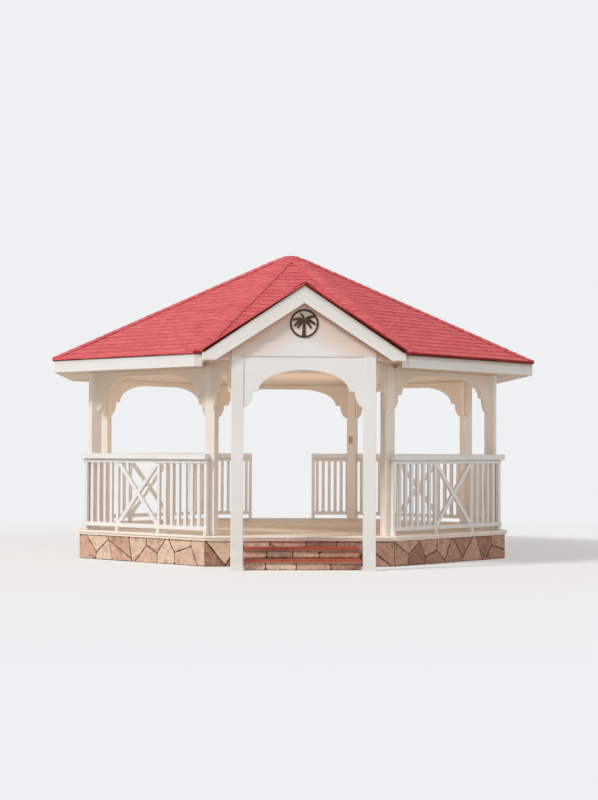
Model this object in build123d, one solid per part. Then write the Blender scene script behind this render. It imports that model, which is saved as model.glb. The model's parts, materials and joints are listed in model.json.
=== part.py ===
# Octagonal garden gazebo with a gabled entrance porch
# Built of posts, arched panels and railings on a stone plinth, under a hipped roof
import os
from math import atan2, cos, degrees, hypot, pi, radians, sin, sqrt, tan

from build123d import *

# Plan
post_ring_radius = 2750.0
post_side = 130.0
porch_post_side = 140.0
porch_post_spacing = 1520.0
porch_projection = 810.0

# Heights above the ground
plinth_height = 305.0
deck_thickness = 55.0

# Heights above the deck, each of the last three measured from the one before it
rail_height = 970.0
crown_height = 1930.0
arch_head_depth = 65.0
porch_soffit_step = 50.0
gable_sill_step = 40.0

# Eaves and roof
eave_overhang = 508.0
fascia_thickness = 25.0
fascia_drop = 10.0
roof_edge_overhang = 25.0
roof_edge_step = 130.0
roof_thickness = 45.0
roof_pitch = 26.2
cap_apothem = 200.0
cap_tiers = ((0.60, 21.0), (0.25, 13.0))
ceiling_thickness = 70.0
porch_ceiling_thickness = 20.0

# Porch gable
gable_pitch = 33.0
porch_eave_reach = 1166.0
barge_depth = 172.0
barge_thickness = 30.0
barge_stand_off = 48.0
barge_tail_drop = 6.0
rake_edge_overhang = 20.0
porch_fascia_drop = 10.0
gable_wall_thickness = 55.0
gable_wing_recess = 25.0

# Arched panels
arch_thickness = 45.0
arch_set_back = 10.0
corner_reach = 522.0
corner_rise = 240.0
shoulder_width = 70.0
shoulder_drop = 8.0
bracket_width = 102.0
bracket_height = 177.0

# Railings
cap_width = 140.0
cap_thickness = 70.0
neck_width = 40.0
neck_height = 10.0
rail_width = 60.0
top_rail_height = 35.0
bottom_rail_height = 50.0
bottom_rail_gap = 55.0
picket_width = 45.0
picket_thickness = 38.0
picket_pitch = 114.0
wing_picket_pitch = 90.0
brace_panel_width = 790.0
brace_panel_shift = 110.0
brace_width = 50.0
back_doorway_width = 900.0
picket_clearance = 2.0
foot_block_width = 45.0

# Plinth, deck and steps
deck_margin = 32.0
nosing_overhang = 30.0
step_count = 2
step_set_back = 32.0
tread_thickness = 40.0
tread_nosing = 20.0
step_clearance = 15.0

# Palm medallion
medallion_radius = 165.0
medallion_ring = 20.0
medallion_thickness = 12.0
medallion_rise = 379.0

# Derived sizes
half_bay = radians(22.5)
deck_top = plinth_height + deck_thickness
soffit_height = crown_height + arch_head_depth
porch_soffit_height = soffit_height + porch_soffit_step
gable_sill_height = porch_soffit_height + gable_sill_step
post_line = post_ring_radius * cos(half_bay)
porch_reach = post_line + porch_projection
bay_half = post_ring_radius * sin(half_bay)
post_reach = post_side / 2 * (cos(half_bay) + sin(half_bay))
rail_line = post_line + post_reach + picket_clearance + picket_thickness / 2
deck_apothem = rail_line + cap_width / 2 + deck_margin
plinth_apothem = deck_apothem - nosing_overhang
fascia_face = post_line + eave_overhang
roof_apothem = fascia_face + roof_edge_overhang
soffit_z = deck_top + soffit_height
porch_soffit_z = deck_top + porch_soffit_height
gable_sill_z = deck_top + gable_sill_height
roof_edge_z = soffit_z + roof_edge_step
eave_top_z = roof_edge_z + roof_thickness
porch_half = porch_post_spacing / 2
porch_front = porch_reach + porch_post_side / 2
gable_back = porch_front - gable_wall_thickness
barge_back = porch_front + barge_stand_off
barge_front = barge_back + barge_thickness
rake_front = barge_front + rake_edge_overhang
porch_roof_half = porch_eave_reach + roof_edge_overhang
gable_slope = tan(radians(gable_pitch))
roof_slope = tan(radians(roof_pitch))
gable_peak_z = eave_top_z + gable_slope * porch_roof_half
apex_z = eave_top_z + roof_slope * roof_apothem
crown_z = deck_top + crown_height
shoulder_z = crown_z - corner_rise
tip_z = shoulder_z - shoulder_drop - bracket_height


def octagon(apothem):
    return RegularPolygon(apothem / cos(half_bay), 8, major_radius=True, rotation=22.5)


def prism(apothem, low, high):
    return extrude(Pos(0, 0, low) * octagon(apothem), amount=high - low)


def block(x0, x1, y0, y1, z0, z1):
    middle = Pos((x0 + x1) / 2, (y0 + y1) / 2, (z0 + z1) / 2)
    return middle * Box(abs(x1 - x0), abs(y1 - y0), abs(z1 - z0))


def upright(points, y_front, y_back):
    # A face drawn in x and z, extruded along y from its front to its back
    face = make_face(Polyline(*points, close=True))
    standing = Plane(origin=(0, y_front, 0), x_dir=(1, 0, 0), z_dir=(0, -1, 0))
    return extrude(standing * face, amount=-abs(y_back - y_front))


# Roof volumes
def roof_frustum(drop):
    rise = roof_slope * (roof_apothem - cap_apothem)
    return extrude(Pos(0, 0, eave_top_z - drop) * octagon(roof_apothem), amount=rise, taper=90 - roof_pitch)


roof_edge_band = prism(roof_apothem, roof_edge_z, eave_top_z)
roof_body = roof_edge_band + roof_frustum(0)
main_roof = roof_body - roof_frustum(roof_thickness)


def roof_cap():
    # Each tier stands on the one below and leans in more, for a blunt tip
    z = eave_top_z + roof_slope * (roof_apothem - cap_apothem)
    apothem = cap_apothem
    cap = None
    for share, pitch in cap_tiers:
        rise = (apothem - share * cap_apothem) * tan(radians(pitch))
        tier = extrude(Pos(0, 0, z) * octagon(apothem), amount=rise, taper=90 - pitch)
        cap = tier if cap is None else cap + tier
        z += rise
        apothem = share * cap_apothem
    return cap


def gable_outline(drop, foot_z):
    top = gable_peak_z - drop
    side = top - gable_slope * porch_roof_half
    return [(-porch_roof_half, foot_z), (-porch_roof_half, side), (0, top),
            (porch_roof_half, side), (porch_roof_half, foot_z)]


ridge_back = roof_apothem - (gable_peak_z - eave_top_z) / roof_slope - 50
gable_body = upright(gable_outline(0, roof_edge_z), -rake_front, -ridge_back)
under_gable = upright(gable_outline(roof_thickness, -1), -rake_front - 1, -ridge_back + 1)
porch_roof = gable_body - under_gable - roof_body

# Posts
post_names = {
    -22.5: "post_front_left", 22.5: "post_front_right",
    -67.5: "post_left_front", 67.5: "post_right_front",
    -112.5: "post_left_back", 112.5: "post_right_back",
    -157.5: "post_back_left", 157.5: "post_back_right",
}


def ring_post(angle):
    top = porch_soffit_z if abs(angle) < 45 else soffit_z
    half = post_side / 2
    upright_post = block(-half, half, -post_ring_radius - half, -post_ring_radius + half, deck_top, top)
    return Rot(0, 0, angle) * upright_post


posts = {name: ring_post(angle) for angle, name in post_names.items()}
half_porch_post = porch_post_side / 2
for side, name in ((-1, "porch_post_left"), (1, "porch_post_right")):
    x = side * porch_half
    posts[name] = block(x - half_porch_post, x + half_porch_post,
                        -porch_front, -porch_front + porch_post_side, 0, gable_sill_z)


# Arched panels
def arch_face(half_clear, half_length, top_z):
    inner = half_clear - bracket_width
    corner_end = inner - shoulder_width
    reach = min(corner_reach, corner_end)
    flat = corner_end - reach
    bracket_top = shoulder_z - shoulder_drop
    corner = EllipticalCenterArc((flat, shoulder_z), reach, corner_rise, start_angle=0, arc_size=90)
    shoulder = Line((corner_end, shoulder_z), (inner, bracket_top))
    bracket = EllipticalCenterArc((half_clear, bracket_top), bracket_width, bracket_top - tip_z,
                                  start_angle=180, arc_size=90)
    rest = [Line((half_clear, tip_z), (half_length, tip_z)),
            Line((half_length, tip_z), (half_length, top_z)),
            Line((half_length, top_z), (0, top_z)),
            Line((0, top_z), (0, crown_z))]
    if flat > 0.001:
        rest.append(Line((0, crown_z), (flat, crown_z)))
    half = make_face([corner, shoulder, bracket, *rest])
    return half + mirror(half, Plane.YZ)


def arch_panel(half_clear, half_length, top_z, front, thickness):
    standing = Plane(origin=(0, front, 0), x_dir=(1, 0, 0), z_dir=(0, -1, 0))
    return extrude(standing * arch_face(half_clear, half_length, top_z), amount=-thickness)


def without(solid, *tools):
    for tool in tools:
        solid = solid - tool
    return solid


panels = {}
ring_clear = bay_half - post_side / 2 / cos(half_bay) - arch_thickness / 2 * tan(half_bay)
arch_names = {
    -45: "arch_left_front", -90: "arch_left", -135: "arch_left_back", 180: "arch_back",
    135: "arch_right_back", 90: "arch_right", 45: "arch_right_front",
}
for angle, name in arch_names.items():
    panel = arch_panel(ring_clear, bay_half, soffit_z, -post_line - arch_thickness / 2, arch_thickness)
    panels[name] = without(Rot(0, 0, angle) * panel, *posts.values())

porch_clear = porch_half - half_porch_post
front_panel = arch_panel(porch_clear, porch_half, gable_sill_z,
                         -porch_front + arch_set_back, arch_thickness)
panels["arch_porch_front"] = without(front_panel, *posts.values())

ring_x, ring_y = bay_half, post_line
side_run = hypot(ring_x - porch_half, porch_reach - ring_y)
side_angle = degrees(atan2(porch_reach - ring_y, ring_x - porch_half))
side_clear = side_run / 2 - max(half_porch_post, post_side / 2) * 1.1
for side, name in ((-1, "arch_porch_left"), (1, "arch_porch_right")):
    middle = Pos(side * (ring_x + porch_half) / 2, -(porch_reach + ring_y) / 2, 0)
    panel = arch_panel(side_clear, side_run / 2, porch_soffit_z, -arch_thickness / 2, arch_thickness)
    panels[name] = without(middle * Rot(0, 0, side * side_angle) * panel, *posts.values())


# Railings
def bay_wedge():
    far = deck_apothem * 2
    wide = far * tan(half_bay)
    floor = make_face(Polyline((0, 0), (-wide, -far), (wide, -far), close=True))
    return extrude(Pos(0, 0, deck_top) * floor, amount=rail_height)


wedge = bay_wedge()
cap_low = deck_top + rail_height - cap_thickness
neck_low = cap_low - neck_height
top_rail_low = neck_low - top_rail_height
bottom_rail_low = deck_top + bottom_rail_gap
bottom_rail_top = bottom_rail_low + bottom_rail_height
picket_front = -rail_line - picket_thickness / 2
picket_back = -rail_line + picket_thickness / 2
rail_half = rail_line * tan(half_bay)


def picket(x):
    half = picket_width / 2
    return block(x - half, x + half, picket_front, picket_back, bottom_rail_low, neck_low)


def foot_block(x):
    half = foot_block_width / 2
    return block(x - half, x + half, -rail_line - rail_width / 2, -rail_line + rail_width / 2,
                 deck_top, bottom_rail_top)


def rails(x0, x1):
    bar = block(x0, x1, -rail_line - cap_width / 2, -rail_line + cap_width / 2, cap_low, cap_low + cap_thickness)
    bar += block(x0, x1, -rail_line - neck_width / 2, -rail_line + neck_width / 2, neck_low, cap_low)
    for low, height in ((top_rail_low, top_rail_height), (bottom_rail_low, bottom_rail_height)):
        bar += block(x0, x1, -rail_line - rail_width / 2, -rail_line + rail_width / 2, low, low + height)
    return bar


def picket_row(start, end):
    # Even pickets strictly between two upright members
    gaps = max(1, round(abs(end - start) / picket_pitch))
    return [start + (end - start) * i / gaps for i in range(1, gaps)]


def brace_cross(middle_x):
    half = brace_panel_width / 2 - picket_width
    height = top_rail_low - bottom_rail_top
    run = hypot(2 * half, height)
    tilt = degrees(atan2(height, 2 * half))
    middle = Pos(middle_x, -rail_line, bottom_rail_top + height / 2)
    frame = block(middle_x - half - 1, middle_x + half + 1, picket_front, picket_back,
                  bottom_rail_top - 1, top_rail_low + 1)
    bars = [middle * Rot(0, turn, 0) * Box(run + 200, picket_thickness, brace_width) for turn in (tilt, -tilt)]
    return (bars[0] + bars[1]) & frame


def full_railing(angle):
    # The braced panel of a bay stands nearer to the side bays than to the front and the back
    middle_x = brace_panel_shift * sin(radians(2 * angle))
    stile = brace_panel_width / 2 - picket_width / 2
    end = rail_half - picket_width / 2
    reach = rail_half + cap_width
    fence = rails(-reach, reach) + brace_cross(middle_x)
    for side in (-1, 1):
        near = middle_x + side * stile
        far = side * end
        for x in [near, far, *picket_row(near, far)]:
            fence += picket(x)
        fence += foot_block(near)
        fence += foot_block(far)
    return Rot(0, 0, angle) * (fence & wedge)


def wing_railing(side):
    # Pickets at an even pitch from the corner, with a narrow gap left beside the doorway stile
    free_end = back_doorway_width / 2
    stile = free_end + picket_width / 2
    end = rail_half - picket_width / 2
    count = int((end - stile - 1.2 * picket_width) / wing_picket_pitch)
    x0, x1 = sorted((side * free_end, side * (rail_half + cap_width)))
    fence = rails(x0, x1)
    for x in [stile, *[end - wing_picket_pitch * i for i in range(count + 1)]]:
        fence += picket(side * x)
    fence += foot_block(side * (free_end + foot_block_width / 2))
    fence += foot_block(side * end)
    return Rot(0, 0, 180) * (fence & wedge)


railings = {}
rail_names = {
    -45: "railing_left_front", -90: "railing_left", -135: "railing_left_back",
    135: "railing_right_back", 90: "railing_right", 45: "railing_right_front",
}
for angle, name in rail_names.items():
    railings[name] = without(full_railing(angle), *posts.values())
for side, name in ((1, "railing_back_left"), (-1, "railing_back_right")):
    railings[name] = without(wing_railing(side), *posts.values())

# Plinth, deck and steps
stone_plinth = prism(plinth_apothem, 0, plinth_height)
floor_deck = prism(deck_apothem, plinth_height, deck_top)
step_half = porch_half - half_porch_post - step_clearance
tread_depth = (porch_reach - step_set_back - plinth_apothem) / step_count
step_rise = deck_top / (step_count + 1)
steps = None
treads = []
for i in range(step_count):
    top = step_rise * (step_count - i)
    near = plinth_apothem + tread_depth * i
    far = plinth_apothem + tread_depth * (i + 1)
    riser = block(-step_half, step_half, -far, -plinth_apothem, 0, top - tread_thickness)
    steps = riser if steps is None else steps + riser
    treads.append(block(-step_half, step_half, -far - tread_nosing, -near, top - tread_thickness, top))
step_treads = Compound(children=treads)

# Ceiling, porch ceiling and fascia
notch_half = porch_eave_reach - fascia_thickness
notch_back = post_line - post_reach - 65
notch = block(-notch_half, notch_half, -fascia_face - 10, -notch_back, soffit_z - 1, roof_edge_z)
ceiling = prism(fascia_face - fascia_thickness, soffit_z, soffit_z + ceiling_thickness) - notch
fascia_low = soffit_z - fascia_drop
porch_gap = block(-porch_eave_reach, porch_eave_reach, -roof_apothem, 0, 0, apex_z)
attic = roof_frustum(roof_thickness)
fascia_ring = prism(fascia_face, fascia_low, eave_top_z) - prism(fascia_face - fascia_thickness, 0, apex_z)
eave_fascia = (fascia_ring - porch_gap) & (attic + prism(roof_apothem, 0, roof_edge_z))

porch_ceiling = block(-notch_half, notch_half, -gable_back, -notch_back,
                      porch_soffit_z, porch_soffit_z + porch_ceiling_thickness)
porch_ceiling = without(porch_ceiling, posts["porch_post_left"], posts["porch_post_right"])


def porch_fascia(side):
    x0, x1 = sorted((side * notch_half, side * porch_eave_reach))
    board = block(x0, x1, -barge_back, -fascia_face, porch_soffit_z - porch_fascia_drop, gable_peak_z)
    return (board & upright(gable_outline(roof_thickness, 0), -rake_front, 0)) - roof_body


# Gable wall and barge boards
def gable_wall():
    inside = upright(gable_outline(roof_thickness, 0), -rake_front, 0)
    edge = porch_half + half_porch_post
    middle = block(-edge, edge, -porch_front, -gable_back, gable_sill_z, gable_peak_z)
    wings = block(-notch_half, notch_half, -porch_front + gable_wing_recess, -gable_back,
                  porch_soffit_z, gable_peak_z)
    wings -= block(-edge, edge, -porch_front, -gable_back, 0, gable_sill_z)
    return (middle + wings) & inside


def barge(side):
    drop = barge_depth / cos(radians(gable_pitch))
    top = gable_peak_z - roof_thickness
    edge_z = top - gable_slope * porch_eave_reach
    tail_z = porch_soffit_z - barge_tail_drop
    tail_x = (top - drop - tail_z) / gable_slope
    outline = [(0, top), (side * porch_eave_reach, edge_z), (side * porch_eave_reach, tail_z),
               (side * tail_x, tail_z), (0, top - drop)]
    return upright(outline, -barge_front, -barge_back)


# Palm medallion
def frond(length, angle, bend):
    # A curved leaf from the crown of the trunk, pointed at its end
    tip = (length, -bend * length)
    upper = (length * 0.55, length * (0.16 - bend * 0.25))
    lower = (length * 0.50, length * (0.01 - bend * 0.25))
    blade = make_face([ThreePointArc((0, length * 0.07), upper, tip),
                       ThreePointArc(tip, lower, (0, -length * 0.07)),
                       Line((0, -length * 0.07), (0, length * 0.07))])
    return Rot(0, 0, angle) * blade


def palm_sketch():
    field = medallion_radius - medallion_ring
    crown = (0.04 * field, 0.16 * field)
    sketch = Circle(medallion_radius) - Circle(field)
    sketch += Pos(0, -1.0 * field) * Ellipse(0.60 * field, 0.34 * field) & Circle(medallion_radius)
    sketch += make_face(Polyline((-0.13 * field, -0.75 * field), (0.07 * field, -0.75 * field),
                                 (crown[0] + 0.05 * field, crown[1]), (crown[0] - 0.05 * field, crown[1]),
                                 close=True))
    sketch += Pos(*crown) * Circle(0.09 * field)
    for angle, bend, size in ((68, 0.10, 0.66), (30, 0.25, 0.80), (-8, 0.35, 0.72)):
        leaf = frond(size * field, angle, bend)
        sketch += Pos(*crown) * leaf
        sketch += Pos(*crown) * mirror(leaf, Plane.YZ)
    return sketch


palm_plane = Plane(origin=(0, -porch_front, gable_sill_z + medallion_rise), x_dir=(1, 0, 0), z_dir=(0, -1, 0))
palm_medallion = extrude(palm_plane * palm_sketch(), amount=medallion_thickness)

nodes = {
    "stone_plinth": stone_plinth,
    "floor_deck": floor_deck,
    "entrance_steps": steps,
    "step_treads": step_treads,
    **posts,
    **panels,
    **railings,
    "ceiling": ceiling,
    "porch_ceiling": porch_ceiling,
    "eave_fascia": eave_fascia,
    "porch_fascia_left": porch_fascia(-1),
    "porch_fascia_right": porch_fascia(1),
    "gable_wall": gable_wall(),
    "barge_board_left": barge(-1),
    "barge_board_right": barge(1),
    "palm_medallion": palm_medallion,
    "main_roof": main_roof,
    "roof_cap": roof_cap(),
    "porch_roof": porch_roof,
}

os.makedirs("parts", exist_ok=True)
for name, solid in nodes.items():
    export_step(solid, f"parts/{name}.step")
    box = solid.bounding_box()
    print(f"{name:22s} solids {len(solid.solids())} volume {solid.volume / 1e9:.4f} m3 "
          f"z {box.min.Z:.1f} to {box.max.Z:.1f}")
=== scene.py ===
import json
from itertools import product
from math import atan2, ceil, cos, hypot, pi, radians, sin, tan
from random import Random

import bmesh
import bpy
from bpy.props import FloatProperty, FloatVectorProperty, IntProperty, PointerProperty
from mathutils import Euler, Matrix, Vector

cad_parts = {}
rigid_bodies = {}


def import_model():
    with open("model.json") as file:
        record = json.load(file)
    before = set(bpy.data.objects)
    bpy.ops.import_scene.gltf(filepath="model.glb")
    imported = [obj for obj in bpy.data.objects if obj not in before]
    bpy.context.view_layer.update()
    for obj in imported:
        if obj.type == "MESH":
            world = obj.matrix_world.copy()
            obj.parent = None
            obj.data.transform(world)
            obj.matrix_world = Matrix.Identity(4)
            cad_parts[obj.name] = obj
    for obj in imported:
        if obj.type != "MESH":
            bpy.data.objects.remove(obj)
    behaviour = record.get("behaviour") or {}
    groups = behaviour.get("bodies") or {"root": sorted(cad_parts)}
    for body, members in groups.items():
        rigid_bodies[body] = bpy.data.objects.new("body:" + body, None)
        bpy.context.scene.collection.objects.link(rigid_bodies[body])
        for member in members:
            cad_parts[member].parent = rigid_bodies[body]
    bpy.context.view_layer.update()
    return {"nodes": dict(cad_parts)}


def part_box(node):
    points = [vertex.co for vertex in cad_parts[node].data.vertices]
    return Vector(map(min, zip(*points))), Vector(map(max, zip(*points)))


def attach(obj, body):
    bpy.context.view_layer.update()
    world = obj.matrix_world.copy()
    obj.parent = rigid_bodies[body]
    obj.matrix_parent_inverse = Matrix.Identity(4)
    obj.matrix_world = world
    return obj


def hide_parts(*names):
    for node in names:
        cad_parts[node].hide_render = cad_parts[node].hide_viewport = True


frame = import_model()

bl_info = {
    "name": "Octagonal Garden Gazebo",
    "version": (1, 0, 0),
    "blender": (4, 5, 0),
    "location": "3D View > Sidebar > Gazebo",
    "description": "Dresses the packed gazebo frame with shingles, paint, stone and tile",
    "category": "Object",
}

# Sizes read from the frame, in metres
HALF_BAY = radians(22.5)
WEDGE = tan(HALF_BAY)
DECK_LOW, DECK_TOP = (corner.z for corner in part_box("floor_deck"))
DECK_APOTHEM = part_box("floor_deck")[1].x
PLINTH_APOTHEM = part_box("stone_plinth")[1].x
ROOF_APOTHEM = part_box("main_roof")[1].x
ROOF_EDGE_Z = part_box("main_roof")[0].z
CAP_LOW_Z, ROOF_TOP_Z = (corner.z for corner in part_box("roof_cap"))
CAP_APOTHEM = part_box("roof_cap")[1].x
FASCIA_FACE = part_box("eave_fascia")[1].x
SOFFIT_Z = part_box("ceiling")[0].z
PORCH_SOFFIT_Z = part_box("porch_ceiling")[0].z
PORCH_FRONT = -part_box("porch_post_left")[0].y
PORCH_POST_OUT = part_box("porch_post_right")[1].x
SILL_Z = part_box("porch_post_left")[1].z
RAKE_FRONT = -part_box("porch_roof")[0].y
PORCH_ROOF_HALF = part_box("porch_roof")[1].x
PEAK_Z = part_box("porch_roof")[1].z
GABLE_BACK = -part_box("gable_wall")[1].y
RAIL_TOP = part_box("railing_left")[1].z
RAIL_IN, RAIL_OUT = (corner.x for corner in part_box("railing_right"))
ROOF_THICKNESS = 0.045
EAVE_TOP_Z = ROOF_EDGE_Z + ROOF_THICKNESS
PITCH = atan2(CAP_LOW_Z - EAVE_TOP_Z, ROOF_APOTHEM - CAP_APOTHEM)
GABLE_PITCH = atan2(PEAK_Z - EAVE_TOP_Z, PORCH_ROOF_HALF)
RIDGE_BACK = ROOF_APOTHEM - (PEAK_Z - EAVE_TOP_Z) / tan(PITCH)
SIDES = (-1, 1)


# Node trees written as Python expressions
def operator(operation, swapped=False):
    """The method that adds a Math node for one of Python's operators."""
    def method(wire, *values):
        return wire.graph.math(operation, *((*values, wire) if swapped else (wire, *values)))
    return method


class Wire:
    """A node's socket that takes part in Python arithmetic."""

    def __init__(self, graph, socket):
        self.graph, self.socket = graph, socket

    def other(self, name):
        return Wire(self.graph, pick(self.socket.node.outputs, name))

    __add__ = __radd__ = operator("ADD")
    __sub__ = operator("SUBTRACT")
    __rsub__ = operator("SUBTRACT", swapped=True)
    __mul__ = __rmul__ = operator("MULTIPLY")
    __truediv__ = operator("DIVIDE")
    __mod__ = operator("FLOORED_MODULO")
    __pow__ = operator("POWER")
    __gt__ = operator("GREATER_THAN")
    __lt__ = operator("LESS_THAN")
    __abs__ = operator("ABSOLUTE")


def pick(sockets, key):
    live = [s for s in sockets if s.enabled]
    if isinstance(key, int):
        return live[key]
    return next(s for s in live if s.name == key)


class Graph:
    """Adds nodes to a shader or geometry tree."""

    def __init__(self, tree):
        self.tree = tree

    def feed(self, socket, value):
        if isinstance(value, Wire):
            self.tree.links.new(value.socket, socket)
        elif value is not None:
            socket.default_value = value

    def node(self, kind, settings=None, inputs=None, out=0):
        made = self.tree.nodes.new(kind)
        for name, value in (settings or {}).items():
            setattr(made, name, value)
        for name, value in (inputs or {}).items():
            self.feed(pick(made.inputs, name), value)
        return Wire(self, pick(made.outputs, out))

    def math(self, operation, *values):
        return self.node("ShaderNodeMath", {"operation": operation}, dict(enumerate(values)))

    def floor(self, value):
        return self.math("FLOOR", value)

    def clamp(self, value, low, high):
        return self.math("MINIMUM", self.math("MAXIMUM", value, low), high)

    def vector(self, x, y, z):
        return self.node("ShaderNodeCombineXYZ", None, {"X": x, "Y": y, "Z": z})

    def parts(self, vector):
        x = self.node("ShaderNodeSeparateXYZ", None, {"Vector": vector})
        return x, x.other("Y"), x.other("Z")

    def scaled(self, vector, amount):
        return self.node("ShaderNodeVectorMath", {"operation": "SCALE"}, {"Vector": vector, "Scale": amount})

    def summed(self, first, *others):
        for item in others:
            first = self.node("ShaderNodeVectorMath", {"operation": "ADD"}, {0: first, 1: item})
        return first


class Finish(Graph):
    """A procedural material: its colour, roughness and bump are built node by node."""

    def __init__(self, name):
        self.material = bpy.data.materials.new(name)
        self.material.use_nodes = True
        super().__init__(self.material.node_tree)
        self.shader = self.tree.nodes["Principled BSDF"]

    @classmethod
    def over(cls, tree):
        """The same helpers for a tree that exists already."""
        made = cls.__new__(cls)
        Graph.__init__(made, tree)
        return made

    def where(self):
        return self.node("ShaderNodeTexCoord", None, None, "Object")

    def seen_directly(self):
        path = self.node("ShaderNodeLightPath")
        rays = (path.other("Is Glossy Ray"), path.other("Is Transmission Ray"))
        return self.math("MAXIMUM", path, self.math("MAXIMUM", *rays))

    def attribute(self, name, out="Fac"):
        return self.node("ShaderNodeAttribute", {"attribute_name": name}, None, out)

    def stretched(self, vector, scale):
        return self.node("ShaderNodeMapping", None, {"Vector": vector, "Scale": scale})

    def noise(self, vector, scale, detail=3.0, roughness=0.55):
        inputs = {"Vector": vector, "Scale": scale, "Detail": detail, "Roughness": roughness}
        return self.node("ShaderNodeTexNoise", None, inputs)

    def cells(self, vector, scale):
        return self.node("ShaderNodeTexVoronoi", {"feature": "F1"}, {"Vector": vector, "Scale": scale}, "Color")

    def mix(self, first, second, factor):
        return self.node("ShaderNodeMix", {"data_type": "RGBA"},
                         {"Factor": factor, "A": tint(first), "B": tint(second)})

    def span(self, value, low, high, to_low=0.0, to_high=1.0):
        inputs = {"Value": value, "From Min": low, "From Max": high, "To Min": to_low, "To Max": to_high}
        return self.node("ShaderNodeMapRange", None, inputs)

    def toward(self, color, other, value, low, high, most=1.0):
        """Mixes up to this share of another colour in, as the value goes from low to high."""
        return self.mix(color, other, self.span(value, low, high, 0.0, most))

    def bump(self, height, distance, strength=1.0):
        return self.node("ShaderNodeBump", None, {"Height": height, "Distance": distance, "Strength": strength})

    def done(self, color, roughness, normal=None, metallic=0.0, specular=0.5):
        self.feed(self.shader.inputs["Base Color"], color)
        self.feed(self.shader.inputs["Roughness"], roughness)
        self.feed(self.shader.inputs["Normal"], normal)
        self.shader.inputs["Metallic"].default_value = metallic
        self.shader.inputs["Specular IOR Level"].default_value = specular
        return self.material


def tint(color):
    """A colour written as 0 to 255 sRGB numbers, turned to the linear RGBA that sockets take."""
    if isinstance(color, Wire) or len(color) == 4:
        return color
    parts = [part / 255 for part in color]
    return (*(p / 12.92 if p <= 0.04045 else ((p + 0.055) / 1.055) ** 2.4 for p in parts), 1.0)


# Finishes
def painted(name, light, shade, edge=None, slope=0.0, edge_shade_color=(150, 116, 92), reach=0.06, deep=0.3, sunny=0.25):
    """Brushed paint over boards: faint grain, grime low down, and a painted warm shade below the roof's edge,
    with less of it on the sunny side.
    """
    f = Finish(name)
    spot, grain = f.where(), f.attribute("grain", "Vector")
    cloud = f.noise(spot, 1.7, 4.0)
    strokes = f.noise(f.stretched(grain, (3.0, 90.0, 90.0)), 1.0, 3.0)
    rings = f.noise(f.stretched(grain, (1.2, 26.0, 26.0)), 1.0, 2.0)
    color = f.mix(light, shade, f.span(cloud, 0.35, 0.75, 0.0, 0.45) + f.attribute("tone") * 0.35)
    color = f.toward(color, shade, strokes, 0.55, 0.85, 0.25)
    x, _, z = f.parts(spot)
    low = f.span(z, DECK_TOP + 0.25, 0.0)
    patches = f.span(f.noise(spot, 9.0, 5.0, 0.7), 0.45, 0.75, 0.0, 0.25)
    color = f.mix(color, (176, 150, 118), patches * (low + 0.08))
    # Painted shade: a warm darker band below the roof's edge stands for the shadow of the overhang; the sunny
    # share keeps less of it on the side towards the key light.
    if edge:
        drop = edge - abs(x) * slope - z + (cloud - 0.5) * 0.02
        share = f.span(x, -1.0, 1.0, sunny, 1.0)
        color = f.mix(color, edge_shade_color, f.span(drop, 0.0, reach * 3, deep, 0.0) * share)
        color = f.mix(color, edge_shade_color, f.span(drop, reach * 0.15, reach, 0.6, 0.0) * share)
    rough = f.span(f.noise(spot, 22.0, 3.0), 0.3, 0.7, 0.42, 0.58)
    return f.done(color, rough, f.bump(strokes * 0.5 + rings * 0.8, 0.0012, 0.6), specular=0.4)


def shingled(name, colors):
    """Mineral-covered shingles: streaky reds, fine granules and a painted shadow line below each course."""
    f = Finish(name)
    spot = f.where()
    pale, mid, deep, dark = colors
    color = f.mix(pale, mid, f.span(f.attribute("tone"), 0.0, 1.0, 0.12, 0.72))
    streaks = f.noise(f.stretched(f.attribute("grain", "Vector"), (7.0, 26.0, 1.0)), 1.0, 4.0, 0.7)
    color = f.toward(color, deep, streaks, 0.47, 0.68, 0.75)
    color = f.toward(color, pale, streaks, 0.46, 0.32, 0.85)
    speck = f.node("ShaderNodeSeparateColor", None, {"Color": f.cells(spot, 420.0)})
    color = f.toward(color, dark, speck, 0.74, 1.0, 0.40)
    color = f.toward(color, (246, 186, 178), speck.other("Green"), 0.82, 1.0, 0.45)
    rise = f.attribute("rise")
    # Painted shadow: a dark band just under the butt of the course above, where its edge casts shade.
    under = f.span(rise + (f.noise(spot, 14.0, 2.0) - 0.5) * 0.10, 0.66, 0.84)
    color = f.mix(color, dark, under * f.span(rise, 0.95, 0.9) * 0.48)
    height = speck * 0.7 + f.noise(spot, 160.0, 2.0) * 0.5
    return f.done(color, 0.93, f.bump(height, 0.0016, 0.7), specular=0.15)


def stone(name, colors):
    """Split stone: each piece its own tint, with mineral veins and a rough face."""
    f = Finish(name)
    spot, tone = f.where(), f.attribute("tone")
    pale, pink, brown, deep = colors
    color = f.toward(f.toward(pale, pink, tone, 0.0, 0.45), brown, tone, 0.45, 1.0)
    cloud = f.noise(spot, 11.0, 6.0, 0.65)
    color = f.toward(color, deep, cloud, 0.5, 0.75, 0.7)
    color = f.toward(color, pale, cloud, 0.45, 0.25, 0.5)
    fleck = f.noise(spot, 150.0, 2.0, 0.7)
    color = f.toward(color, deep, fleck, 0.6, 0.8, 0.5)
    chips = f.noise(spot, 42.0, 5.0, 0.75)
    color = f.toward(color, deep, chips, 0.54, 0.66, 0.55)
    color = f.toward(color, pale, chips, 0.44, 0.34, 0.45)
    height = cloud * 1.0 + chips * 0.6 + fleck * 0.1
    return f.done(color, f.span(fleck, 0.3, 0.7, 0.72, 0.9), f.bump(height, 0.006, 0.8), specular=0.3)


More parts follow.
